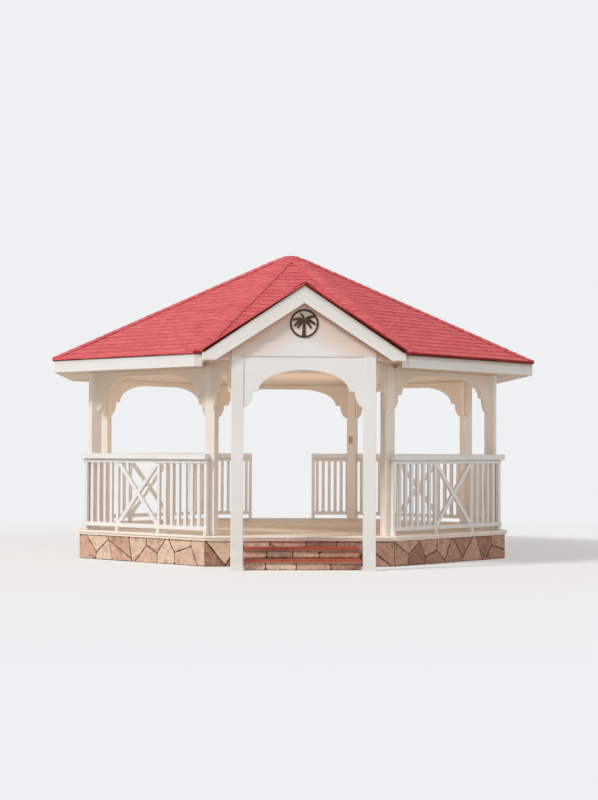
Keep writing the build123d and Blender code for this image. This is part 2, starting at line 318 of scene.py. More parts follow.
def plain_mineral(name, light, shade, dark, scale=14.0, rough=(0.6, 0.8), depth=0.001, cloudy=0.7,
                  specular=0.5):
    """Mortar, cast stone or tile: clouded colour with fine grit."""
    f = Finish(name)
    spot = f.where()
    cloud = f.noise(spot, scale, 5.0, 0.6)
    grit = f.noise(spot, scale * 22, 2.0, 0.6)
    color = f.mix(light, shade, f.span(cloud, 0.3, 0.7) * cloudy + f.attribute("tone") * (1 - cloudy))
    color = f.toward(color, dark, grit, 0.55, 0.8, 0.45)
    color = f.toward(color, dark, f.noise(spot, scale * 0.25, 3.0, 0.6), 0.55, 0.8, 0.3)
    height = cloud * 0.6 + grit * 0.4
    return f.done(color, f.span(grit, 0.3, 0.7, *rough), f.bump(height, depth, 0.6), specular=specular)


def bronze(name, light, dark):
    """Weathered cast metal, brown with lighter rubbed spots."""
    f = Finish(name)
    spot = f.where()
    patina = f.noise(spot, 34.0, 5.0, 0.65)
    pits = f.noise(spot, 240.0, 3.0, 0.6)
    color = f.toward(dark, light, patina, 0.45, 0.75)
    return f.done(color, f.span(pits, 0.3, 0.7, 0.38, 0.62), f.bump(pits + patina, 0.0008, 0.7), metallic=0.55)

# Solids gathered into one mesh
class Solid:
    """Collects closed boards, plates and bars, each with a tone and a grain direction of its own."""

    def __init__(self, seed):
        self.points, self.faces, self.tones, self.grains = [], [], [], []
        self.random = Random(seed)

    def add(self, points, faces, place=None, tone=None):
        place = place or Matrix()
        first = len(self.points)
        spans = [max(p[i] for p in points) - min(p[i] for p in points) for i in range(3)]
        order = grain_order(spans, self.random)
        tone = self.random.random() if tone is None else tone
        for p in points:
            self.points.append(place @ Vector(p))
            self.grains.append([p[i] + shift for i, shift in order])
            self.tones.append(tone)
        self.faces += [[first + i for i in face] for face in faces]

    def board(self, low, high, place=None, ease=0.003, mitre=None, tone=None):
        """An eased box from its low to its high corner; mitre cuts its x ends along the bay's edges."""
        low, high = Vector(low), Vector(high)
        middle, half = (low + high) / 2, (high - low) / 2
        ease = min(ease, *(h * 0.45 for h in half))
        points, index = [], {}
        for *signs, axis in product(SIDES, SIDES, SIDES, range(3)):
            spot = [s * half[i] - (0 if i == axis else ease * s) for i, s in enumerate(signs)]
            index[(*signs, axis)] = len(points)
            points.append(middle + Vector(spot))
        for p in points if mitre else ():
            side = 1 if p.x > middle.x else -1
            if side in mitre:
                p.x = side * (-p.y * WEDGE) - (side * half.x + middle.x - p.x)

        def loop(axis, spots):
            """The points of a face, each found by its three signs and the axis that it was eased along."""
            found = []
            for sign, sa, sb, face in spots:
                key = [sa, sb]
                key.insert(axis, sign)
                found.append(index[(*key, face)])
            return found

        faces = []
        for axis in range(3):
            a, b = [i for i in range(3) if i != axis]
            faces += [loop(axis, [(sign, sa, sb, axis) for sa, sb in ((-1, -1), (1, -1), (1, 1), (-1, 1))])
                      for sign in SIDES]
            faces += [loop(axis, [(-1, sa, sb, a), (1, sa, sb, a), (1, sa, sb, b), (-1, sa, sb, b)])
                      for sa, sb in product(SIDES, SIDES)]
        faces += [[index[(*signs, axis)] for axis in range(3)] for signs in product(SIDES, SIDES, SIDES)]
        self.add(points, faces, place, tone)

    def plate(self, outline, depth, place=None, ease=0.003, tone=None, rise=0.0, tilt=0.0):
        """A flat piece with a convex outline; its eased face is at z = 0 and it goes down by depth."""
        inner = inset(outline, ease)
        if not inner:
            return
        slope = (self.random.uniform(-tilt, tilt), self.random.uniform(-tilt, tilt))
        n = len(outline)
        cx, cy = (sum(p[i] for p in outline) / n for i in range(2))

        def lift(x, y):
            return rise + slope[0] * (x - cx) + slope[1] * (y - cy)

        points = [(x, y, -depth) for x, y in outline]
        points += [(x, y, lift(x, y) - ease) for x, y in outline]
        points += [(x, y, lift(x, y)) for x, y in inner]
        faces = [list(range(n))[::-1], [2 * n + i for i in range(n)]] + bands(n, 2)
        self.add(points, faces, place, tone)

    def link(self, name, material, slot, replaced=()):
        """Turns the solids into one piece of the gazebo."""
        mesh = bpy.data.meshes.new(name)
        mesh.from_pydata([tuple(p) for p in self.points], [], self.faces)
        mesh.attributes.new("tone", "FLOAT", "POINT").data.foreach_set("value", self.tones)
        grains = mesh.attributes.new("grain", "FLOAT_VECTOR", "POINT")
        grains.data.foreach_set("vector", [c for g in self.grains for c in g])
        work = bmesh.new()
        work.from_mesh(mesh)
        bmesh.ops.recalc_face_normals(work, faces=work.faces)
        work.to_mesh(mesh)
        work.free()
        link(name, mesh, material, replaced)


def bands(n, count, closed=False):
    """The faces between rings of n points; a closed set joins its last ring to its first."""
    faces = []
    for ring in range(count):
        after = (ring + 1) % count if closed else ring + 1
        for i, j in ((i, (i + 1) % n) for i in range(n)):
            faces.append([ring * n + i, ring * n + j, after * n + j, after * n + i])
    return faces

def inset(outline, amount):
    """A convex outline, counter-clockwise, with every side moved in."""
    result = []
    n = len(outline)
    for i in range(n):
        a, b, c = (Vector(outline[k % n]) for k in (i - 1, i, i + 1))
        d1, d2 = (b - a).normalized(), (c - b).normalized()
        first, second = (b + Vector((-d.y, d.x)) * amount for d in (d1, d2))
        across = d1.x * d2.y - d1.y * d2.x
        if across < 1e-4:
            result.append(tuple(first))
        else:
            result.append(tuple(first + d1 * ((second - first).cross(d2) / across)))
    return result if area(result) >= 0.25 * area(outline) else None


def area(outline):
    pairs = zip(outline[-1:] + outline[:-1], outline)
    return sum(p[0] * q[1] - q[0] * p[1] for p, q in pairs) / 2


def cut(outline, normal, limit):
    """The part of a convex outline where normal · point is at most limit."""
    kept = []
    for i, p in enumerate(outline):
        q = outline[i - 1]
        dp, dq = (normal[0] * x + normal[1] * y - limit for x, y in (p, q))
        if (dp > 0) != (dq > 0):
            t = dq / (dq - dp)
            kept.append((q[0] + (p[0] - q[0]) * t, q[1] + (p[1] - q[1]) * t))
        if dp <= 0:
            kept.append(tuple(p))
    clean = [p for i, p in enumerate(kept) if hypot(p[0] - kept[i - 1][0], p[1] - kept[i - 1][1]) > 1e-4]
    return clean if len(clean) > 2 else []


def rectangle(x0, x1, y0, y1):
    return [(x0, y0), (x1, y0), (x1, y1), (x0, y1)]

def octagon(apothem):
    reach = apothem / cos(HALF_BAY)
    return [(reach * cos(a), reach * sin(a)) for a in (radians(22.5 + 45 * i) for i in range(8))]


def to_bay(angle):
    """The frame of the bay that faces this many degrees round from the porch."""
    return Matrix.Rotation(radians(angle), 4, "Z")


def axes(x, y, z, spot=(0, 0, 0)):
    """A placement from the directions of its axes and its origin."""
    return Matrix.Translation(spot) @ Matrix((x, y, z)).transposed().to_4x4()


def shifted(x, y, z):
    return Matrix.Translation((x, y, z))


def facing(angle, apothem, z=0.0):
    """Local x along a bay's wall, y up, z out of the wall, at this distance from the middle."""
    return to_bay(angle) @ axes((1, 0, 0), (0, 0, 1), (0, -1, 0), (0, -apothem, z))


def underside(z):
    """Looking up at this height: x stays, y towards the front, the eased face downwards."""
    return axes((1, 0, 0), (0, -1, 0), (0, 0, -1), (0, 0, z))


def link(name, mesh, coat, replaced=()):
    """Adds a mesh as one finished piece, which replaces these CAD nodes."""
    piece = bpy.data.objects.new(name, mesh)
    bpy.context.scene.collection.objects.link(piece)
    mesh.materials.clear()
    mesh.materials.append(finish(coat))
    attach(piece, "root")
    if replaced:
        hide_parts(*replaced)


def grain_order(spans, random):
    """The axes from the longest to the shortest, each with a random shift of the grain."""
    order = sorted(range(3), key=lambda i: -spans[i])
    return [(i, random.uniform(0, 30)) for i in order]


def eased_nodes(name, nodes, ease, coat, seed):
    """Copies CAD nodes into one mesh with softened edges."""
    random = Random(seed)
    whole = bmesh.new()
    tones = whole.verts.layers.float.new("tone")
    grains = whole.verts.layers.float_vector.new("grain")
    for node in nodes:
        bm = bmesh.new()
        bm.from_mesh(frame["nodes"][node].data)
        bmesh.ops.remove_doubles(bm, verts=bm.verts, dist=1e-5)
        bmesh.ops.dissolve_limit(bm, angle_limit=radians(0.4), verts=bm.verts, edges=bm.edges)
        sharp = [e for e in bm.edges if len(e.link_faces) == 2 and e.calc_face_angle(0) > radians(24)]
        bmesh.ops.bevel(bm, geom=sharp, offset=ease, segments=1, affect="EDGES", clamp_overlap=True)
        bmesh.ops.remove_doubles(bm, verts=bm.verts, dist=3e-5)
        bmesh.ops.dissolve_degenerate(bm, edges=bm.edges, dist=1e-5)
        low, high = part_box(node)
        order = grain_order(high - low, random)
        tone = random.random()
        known = {}
        for v in bm.verts:
            known[v] = twin = whole.verts.new(v.co)
            twin[tones] = tone
            twin[grains] = Vector([v.co[i] + shift for i, shift in order])
        for face in bm.faces:
            whole.faces.new([known[v] for v in face.verts])
        bm.free()
    mesh = bpy.data.meshes.new(name)
    whole.to_mesh(mesh)
    whole.free()
    link(name, mesh, coat, nodes)


# Geometry node trees
KINDS = {tuple: "Vector", float: "Float", int: "Int", type(None): "Material"}


def label(key):
    return key.replace("_", " ").title()


class Tree(Graph):
    """A geometry node tree with named inputs; the kind of each follows from its default."""

    def __init__(self, name, **inputs):
        group = bpy.data.node_groups.new(name, "GeometryNodeTree")
        super().__init__(group)
        group.interface.new_socket("Geometry", in_out="OUTPUT", socket_type="NodeSocketGeometry")
        self.ids = {}
        for key, default in inputs.items():
            item = group.interface.new_socket(label(key), in_out="INPUT",
                                              socket_type="NodeSocket" + KINDS[type(default)])
            if default is not None:
                item.default_value = default
            self.ids[key] = item.identifier
        self.entry = group.nodes.new("NodeGroupInput")
        self.exit = group.nodes.new("NodeGroupOutput")

    def given(self, *keys):
        found = [Wire(self, pick(self.entry.outputs, label(key))) for key in keys]
        return found if len(found) > 1 else found[0]

    def points(self, count):
        return self.node("GeometryNodePoints", None, {"Count": count})

    def index(self):
        return self.node("GeometryNodeInputIndex")

    def grid_place(self, columns):
        """The number, row and column of each point, counted in rows of this many."""
        number = self.index()
        row = self.floor(number / columns + 0.0001)
        return number, row, number - row * columns

    def position(self):
        return self.node("GeometryNodeInputPosition")

    def slab(self, x, y):
        """A unit box with this many points along x and y."""
        return self.node("GeometryNodeMeshCube", None, {"Size": self.vector(1.0, 1.0, 1.0), "Vertices X": x,
                                                        "Vertices Y": y, "Vertices Z": 2})

    def random(self, low, high, key, seed):
        return self.node("FunctionNodeRandomValue", {"data_type": "FLOAT"},
                         {"Min": low, "Max": high, "ID": key, "Seed": seed})

    def keep(self, geometry, kind="FLOAT", **values):
        for name, value in values.items():
            geometry = self.node("GeometryNodeStoreNamedAttribute", {"data_type": kind, "domain": "POINT"},
                                 {"Geometry": geometry, "Name": name, "Value": value})
        return geometry

    def kept(self, name, kind="FLOAT"):
        return self.node("GeometryNodeInputNamedAttribute", {"data_type": kind}, {"Name": name})

    def moved(self, geometry, position):
        return self.node("GeometryNodeSetPosition", None, {"Geometry": geometry, "Position": position})

    def without(self, geometry, selection):
        return self.node("GeometryNodeDeleteGeometry", {"domain": "POINT"},
                         {"Geometry": geometry, "Selection": selection})

    def placed(self, points, instance, rotation=None):
        made = self.node("GeometryNodeInstanceOnPoints", None,
                         {"Points": points, "Instance": instance, "Rotation": rotation})
        return self.node("GeometryNodeRealizeInstances", None, {"Geometry": made})

    def joined(self, *pieces):
        made = self.tree.nodes.new("GeometryNodeJoinGeometry")
        for piece in reversed(pieces):
            self.tree.links.new(piece.socket, made.inputs[0])
        return Wire(self, made.outputs[0])

    def laid(self, geometry, steps):
        """Moves each point from the origin by its steps along these named directions."""
        runs = [self.scaled(self.given(key), amount) for key, amount in steps]
        return self.finish(self.moved(geometry, self.summed(self.given("origin"), *runs)))

    def finish(self, geometry):
        solid = self.node("GeometryNodeRealizeInstances", None, {"Geometry": geometry})
        last = self.node("GeometryNodeSetMaterial", None,
                         {"Geometry": solid, "Material": self.given("material")})
        self.tree.links.new(last.socket, self.exit.inputs[0])
        return self


def grow(name, tree, coat, slot, replaced=(), clean=False, **values):
    """Runs a tree on an empty mesh and adds the result, made a plain mesh, as one piece."""
    holder = bpy.data.objects.new(name, bpy.data.meshes.new(name + "_seed"))
    bpy.context.scene.collection.objects.link(holder)
    modifier = holder.modifiers.new("grow", "NODES")
    modifier.node_group = tree.tree
    for key, value in {**values, "material": finish(coat)}.items():
        modifier[tree.ids[key]] = value
    graph = bpy.context.evaluated_depsgraph_get()
    mesh = bpy.data.meshes.new_from_object(holder.evaluated_get(graph))
    holder.modifiers.remove(modifier)
    bpy.data.objects.remove(holder)
    mesh.name = name
    mesh.shade_flat()
    link(name, cleaned(mesh) if clean else mesh, coat, replaced)


def cleaned(mesh):
    """Takes out edges and whole tabs that the cutting lines squeezed flat."""
    flat_edge, flat_tab, passes = 3e-4, 2e-4, 6
    work = bmesh.new()
    work.from_mesh(mesh)
    for _ in range(passes):
        bmesh.ops.dissolve_degenerate(work, edges=work.edges, dist=flat_edge)
        if all(face.calc_area() > 1e-9 for face in work.faces):
            break
    seen, flat = set(), []
    for start in work.verts:
        if start in seen:
            continue
        seen.add(start)
        island, queue = [start], [start]
        while queue:
            near = {v for edge in queue.pop().link_edges for v in edge.verts} - seen
            near = sorted(near, key=lambda v: v.index)
            seen.update(near)
            island += near
            queue += near
        faces = {face for v in island for face in v.link_faces}
        edges = {edge for v in island for edge in v.link_edges}
        thin = len(faces) < 4 or sum(face.calc_area() for face in faces) < flat_tab
        if thin or any(len(edge.link_faces) != 2 for edge in edges):
            flat += island
    bmesh.ops.delete(work, geom=flat, context="VERTS")
    work.to_mesh(mesh)
    work.free()
    return mesh


def shingle_slope():
    """One roof slope of lapped tabs, cut to the lines that bound it on either side."""
    t = Tree("Shingle slope", origin=(0, 0, 0), along=(1, 0, 0), up=(0, 1, 0), out=(0, 0, 1),
             left=-1.0, left_lean=0.0, right=1.0, right_lean=0.0, gap=-1.0, gap_lean=0.0,
             length=1.0, exposure=0.14, tab=0.25, thickness=0.006, seed=1, material=None)
    tab, exposure, seed, length = t.given("tab", "exposure", "seed", "length")
    left, right, left_lean, right_lean = t.given("left", "right", "left_lean", "right_lean")
    first = t.math("MINIMUM", left, left + left_lean * length)
    last = t.math("MAXIMUM", right, right + right_lean * length)
    columns = t.floor((last - first) / tab) + 4
    rows = t.floor(length / exposure + 0.999)
    _, row, column = t.grid_place(columns)
    key = row * 97 + column
    start = first - tab + (row % 2) * (tab * 0.5)
    edge = start + (column + t.random(-0.22, 0.22, key, seed)) * tab
    far_edge = start + (column + 1 + t.random(-0.22, 0.22, key + 1, seed)) * tab
    v = row * exposure
    middle = (edge + far_edge) * 0.5
    width = far_edge - edge
    points = t.keep(t.points(rows * columns), tone=t.random(0.0, 1.0, key, seed + 7), centre=middle, wide=width,
                    course=v, lift=t.random(0.75, 1.1, key, seed + 3))
    reach = v + exposure
    far_left = t.math("MINIMUM", left + left_lean * v, left + left_lean * reach)
    far_right = t.math("MAXIMUM", right + right_lean * v, right + right_lean * reach)
    outside = (middle + width * 0.5 < far_left) + (middle - width * 0.5 > far_right)
    gap, gap_lean = t.given("gap", "gap_lean")
    buried = abs(middle) + width * 0.5 < gap + gap_lean * (v + exposure * 1.2)
    made = t.placed(t.without(points, outside + buried), t.slab(4, 3))
    # Each slab's own shares, from -0.5 to 0.5, become its place on the slope
    x, y, z = t.parts(t.position())
    centre = t.kept("centre")
    inner = abs(x) < 0.3
    softened = 0.004
    across = centre + t.math("SIGN", x) * (t.kept("wide") * 0.5 - 0.0012 - inner * softened)
    near_butt = abs(y) < 0.2
    share = t.math("MINIMUM", y + 0.5, 1.0) * (1 - near_butt) + near_butt * 0.05
    climb = t.kept("course") + share * exposure * 1.14
    made = t.keep(made, rise=share)
    made = t.keep(made, "FLOAT_VECTOR", grain=t.vector(across, climb, t.kept("tone") * 5.0))
    corner = 1 - (1 - inner) * 0.35 - (share < 0.01) * 0.3
    out = (z > 0) * (t.given("thickness") * t.kept("lift")) * (1 - share * 0.9) * corner
    u = t.clamp(across, left + left_lean * climb, right + right_lean * climb)
    gap = t.math("MAXIMUM", gap + gap_lean * climb, 0.0)
    within = (gap > 0.01) * (abs(u) < gap)
    u = gap * ((centre > 0) * 2 - 1) * within + u * (1 - within)
    return t.laid(made, (("along", u), ("up", t.math("MINIMUM", climb, length)), ("out", out)))


def many(name, tree, rows, **shared):
    """A tree that joins several runs of another one, each with inputs of its own."""
    whole = Tree(name, **shared)
    runs = []
    for row in rows:
        group = whole.tree.nodes.new("GeometryNodeGroup")
        group.node_tree = tree.tree
        for key in shared:
            whole.feed(pick(group.inputs, label(key)), whole.given(key))
        for key, value in row.items():
            whole.feed(pick(group.inputs, label(key)), value)
        runs.append(Wire(whole, group.outputs[0]))
    return whole.finish(whole.joined(*runs))


def cap_row():
    """Bent cap shingles laid up a hip or along a ridge, each over the one before."""
    t = Tree("Cap row", origin=(0, 0, 0), along=(0, 1, 0), side=(1, 0, 0), out=(0, 0, 1), length=1.0,
             fold=0.17, notch=0.0, exposure=0.14, half=0.14, thickness=0.006, seed=1, material=None)
    exposure, half, length, seed = t.given("exposure", "half", "length", "seed")
    number = t.index()
    points = t.keep(t.points(t.floor(length / exposure)), start=number * exposure,
                    tone=t.random(0.0, 1.0, number, seed), skew=t.random(-0.006, 0.006, number, seed + 5))
    made = t.placed(points, t.slab(9, 3))
    x, y, z = t.parts(t.position())
    near = abs(y) < 0.2
    share = (y + 0.5) * (1 - near) + near * 0.04
    made = t.keep(made, rise=share)
    away = abs(x) * 2
    across = x * 2 * half + t.kept("skew")
    drop = t.math("MAXIMUM", away - 0.12, 0.0) * half * t.math("TANGENT", t.given("fold"))
    thick = t.given("thickness") * (1 - share * 0.8) * (1 - (share < 0.01) * 0.25) * (1 - (away > 0.99) * 0.3)
    out = (z > 0) * thick - drop + 0.004
    run = t.kept("start") + share * exposure * 1.25
    made = t.keep(made, "FLOAT_VECTOR", grain=t.vector(across, run, t.kept("tone") * 5.0))
    run = t.math("MINIMUM", t.math("MAXIMUM", run, t.given("notch") * abs(across)), length)
    return t.laid(made, (("along", run), ("side", across), ("out", out)))


def picket_run():
    """Even eased pickets between two points."""
    t = Tree("Picket run", start=(0, 0, 0), end=(1, 0, 0), count=5, width=0.045, depth=0.038, height=0.8,
             ease=0.003, turn=0.0, seed=1, material=None)
    points = t.node("GeometryNodeMeshLine", {"mode": "END_POINTS"},
                    {"Count": t.given("count"), "Start Location": t.given("start"), "Offset": t.given("end")})
    points = t.keep(points, tone=t.random(0.0, 1.0, t.index(), t.given("seed")))
    outline = t.node("GeometryNodeCurvePrimitiveQuadrilateral", {"mode": "RECTANGLE"},
                     {"Width": t.given("width"), "Height": t.given("depth")})
    outline = t.node("GeometryNodeFilletCurve", {"mode": "POLY"},
                     {"Curve": outline, "Radius": t.given("ease"), "Count": 1})
    rail = t.node("GeometryNodeCurvePrimitiveLine", {"mode": "POINTS"},
                  {"Start": t.vector(0.0, 0.0, 0.0), "End": t.vector(0.0, 0.0, t.given("height"))})
    bar = t.node("GeometryNodeCurveToMesh", None,
                 {"Curve": rail, "Profile Curve": outline, "Fill Caps": True})
    bar = t.keep(bar, "FLOAT_VECTOR", shape=t.position())
    made = t.placed(points, bar, t.vector(0.0, 0.0, t.given("turn")))
    x, y, z = t.parts(t.kept("shape", "FLOAT_VECTOR"))
    return t.finish(t.keep(made, "FLOAT_VECTOR", grain=t.vector(z, x + t.kept("tone") * 9, y)))


def tile_field():
    """Tiles in rows with even joints, on a level rectangle."""
    t = Tree("Tile field", corner=(0, 0, 0), columns=4, rows=1, width=0.3, depth=0.3, height=0.02,
             joint=0.004, seed=1, material=None)
    columns, width, depth, joint, height = t.given("columns", "width", "depth", "joint", "height")
    number, row, column = t.grid_place(columns)
    spot = t.vector((column + 0.5) * width, (row + 0.5) * depth, height * -0.5)
    points = t.moved(t.points(columns * t.given("rows")), t.summed(t.given("corner"), spot))
    points = t.keep(points, tone=t.random(0.0, 1.0, number, t.given("seed")))
    x, y, z = t.parts(t.position())
    soft = 0.0025
    in_x, in_y = abs(x) < 0.3, abs(y) < 0.3
    px = t.math("SIGN", x) * ((width - joint) * 0.5 - in_x * soft)
    py = t.math("SIGN", y) * ((depth - joint) * 0.5 - in_y * soft)
    pz = z * height - (1 - in_x * in_y) * (z > 0) * soft
    return t.finish(t.placed(points, t.moved(t.slab(4, 4), t.vector(px, py, pz))))


# Settings that a user would change
def length(name, description, default, low, high):
    return FloatProperty(name=name, description=description, default=default, min=low, max=high, unit="LENGTH")


class GazeboSizes(bpy.types.PropertyGroup):
    """Sizes of the parts that repeat."""

    exposure: length("Course exposure", "Height of each shingle course that shows", 0.127, 0.08, 0.3)
    tab: length("Tab width", "Average width of a shingle tab", 0.29, 0.1, 0.6)
    shingle: length("Shingle thickness", "Thickness of a tab at its lower edge", 0.008, 0.002, 0.02)
    cap: length("Cap half width", "Half the width of a hip or ridge cap", 0.125, 0.06, 0.25)
    ease: length("Edge easing", "Softening of painted timber edges", 0.004, 0.001, 0.01)
    picket_pitch: length("Picket pitch", "Spacing of the pickets", 0.114, 0.06, 0.2)
    picket_width: length("Picket width", "Width of a picket's front", 0.045, 0.02, 0.08)
    picket_depth: length("Picket depth", "Thickness of a picket, front to back", 0.038, 0.015, 0.055)
    ceiling_board: length("Ceiling board", "Width of a ceiling board", 0.14, 0.06, 0.3)
    stone: length("Stone size", "Average size of a stone in the plinth facing", 0.28, 0.1, 0.5)
    joint: length("Stone joint", "Width of the joints between the stones", 0.008, 0.004, 0.03)
    seed: IntProperty(name="Seed", description="Start of every random layout", default=11, min=0)


def shade(name, description, color):
    return FloatVectorProperty(name=name, description=description, default=tint(color)[:3],
                               subtype="COLOR", min=0.0, max=1.0, size=3)


class GazeboColors(bpy.types.PropertyGroup):
    """Colours of the finishes."""

    white: shade("Trim white", "Paint of the outer trim", (244, 243, 243))
    white_shade: shade("Trim shade", "Duller patches of the trim paint", (230, 227, 225))
    post: shade("Post white", "Paint of the posts of the ring", (246, 240, 233))
    post_shade: shade("Post shade", "Duller patches of the post paint", (236, 224, 213))
    # The inner cream and the ceiling beige are white paint tinted with painted warm shade and bounce light from
    # under the roof.
    cream: shade("Inner cream", "Paint of the posts and panels under the roof", (243, 232, 219))
    cream_shade: shade("Inner shade", "Duller patches of the inner paint", (226, 208, 190))
    ceiling: shade("Ceiling", "Paint of the ceiling boards", (221, 197, 172))
    ceiling_shade: shade("Ceiling shade", "Duller patches of the ceiling paint", (205, 176, 150))
    red_pale: shade("Shingle pale", "Lightest shingle", (238, 122, 124))
    red_mid: shade("Shingle middle", "Usual shingle", (222, 92, 100))
    red_deep: shade("Shingle deep", "Darkest shingle", (204, 68, 82))
    red_dark: shade("Shingle speck", "Dark granules", (138, 34, 48))


# The fascia, barge and gable paints carry a painted shade below the roof's edge: edge, slope, reach, deep and
# the shade colour place and tint it.
RAKE = {"slope": tan(GABLE_PITCH), "edge": PEAK_Z - ROOF_THICKNESS}
GABLE = {"slope": tan(GABLE_PITCH), "edge": PEAK_Z - ROOF_THICKNESS - 0.12, "edge_shade_color": (214, 146, 94)}
PAINTS = {
    "trim_paint": ("white", {}),
    "fascia_paint": ("white", {"edge": ROOF_EDGE_Z, "reach": 0.05, "deep": 0.16}),
    "barge_paint": ("white", {**RAKE, "reach": 0.075, "deep": 0.22}),
    "gable_paint": ("white", {**GABLE, "reach": 0.17, "deep": 0.60, "sunny": 1.0}),
    "post_paint": ("post", {}),
    # Inner and ceiling paints: white paint tinted to paint the warm shade under the roof.
    "inner_paint": ("cream", {}),
    "ceiling_paint": ("ceiling", {}),
}
MINERALS = {
    # edge_shingle: a lit red and a shaded red, picked by tone, paint the light and shade on the shingle ends.
    "edge_shingle": ((234, 108, 112), (132, 36, 32), (84, 22, 20), 30.0, (0.85, 0.95), 0.0008, 0.12, 0.12),
    # Underlay near-black: partly the dark felt, partly a painted shadow line below the shingle ends.
    "roof_underlay": ((76, 20, 14), (56, 14, 10), (36, 8, 6), 14.0, (0.6, 0.8), 0.001, 0.7, 0.1),
    "joint_mortar": ((92, 66, 54), (66, 46, 38), (44, 30, 26)),
    "deck_finish": ((232, 216, 194), (216, 196, 170), (190, 166, 138), 5.0, (0.45, 0.62), 0.0006),
    # Edging: paler than the deck field, partly painted sunlight on the deck's edge.
    "edging_finish": ((251, 243, 233), (244, 230, 214), (214, 190, 164), 6.0, (0.4, 0.6), 0.0005),
    "red_tile": ((184, 88, 64), (158, 66, 50), (116, 46, 36), 12.0, (0.4, 0.6), 0.0006),
    "tile_grout": ((196, 176, 156), (170, 150, 132), (130, 112, 98)),
    "socket_brown": ((212, 182, 152), (198, 164, 132), (152, 122, 96)),
}
finishes = {}


def finish(name):
    """The material of this name, made when it is first asked for."""
    if name not in finishes:
        finishes[name] = made_finish(name)
    return finishes[name]


def made_finish(name):
    """Builds the material of this name from the tables above or the panel's colours."""
    def chosen(*keys):
        colors = bpy.context.scene.gazebo_colors
        return [(*getattr(colors, key), 1.0) for key in keys]

    if name in PAINTS:
        paint, settings = PAINTS[name]
        return painted(name, *chosen(paint, paint + "_shade"), **settings)
    if name in MINERALS:
        return plain_mineral(name, *MINERALS[name])
    if name == "red_shingle":
        return shingled(name, chosen("red_pale", "red_mid", "red_deep", "red_dark"))
    if name == "plinth_stone":
        return stone(name, [(232, 208, 184), (218, 176, 156), (166, 124, 104), (108, 72, 58)])
    return bronze(name, (104, 78, 60), (62, 44, 36))


RING_POSTS = ("post_front_left", "post_front_right", "post_left_front", "post_right_front",
              "post_left_back", "post_right_back", "post_back_left", "post_back_right")
ARCHES = ("arch_left_front", "arch_left", "arch_left_back", "arch_back", "arch_right_back",
          "arch_right", "arch_right_front")
RAILINGS = {-45: "railing_left_front", -90: "railing_left", -135: "railing_left_back",
            135: "railing_right_back", 90: "railing_right", 45: "railing_right_front"}


class GAZEBO_OT_posts(bpy.types.Operator):
    """Painted posts of the ring and of the porch"""

    bl_idname = "gazebo.posts"
    bl_label = "Posts"

    def execute(self, context):
        ease = context.scene.gazebo_sizes.ease
        eased_nodes("ring_posts", RING_POSTS, ease, "post_paint", 21)
        eased_nodes("porch_posts", ("porch_post_left", "porch_post_right"), ease, "trim_paint", 22)
        return {"FINISHED"}


class GAZEBO_OT_arches(bpy.types.Operator):
    """Scalloped panels between the posts"""

    bl_idname = "gazebo.arches"
    bl_label = "Arched panels"

    def execute(self, context):
        ease = context.scene.gazebo_sizes.ease
        eased_nodes("ring_arches", ARCHES, ease, "inner_paint", 31)
        eased_nodes("porch_side_arches", ("arch_porch_left", "arch_porch_right"), ease, "inner_paint", 32)
        eased_nodes("porch_front_arch", ("arch_porch_front",), ease, "trim_paint", 33)
        return {"FINISHED"}


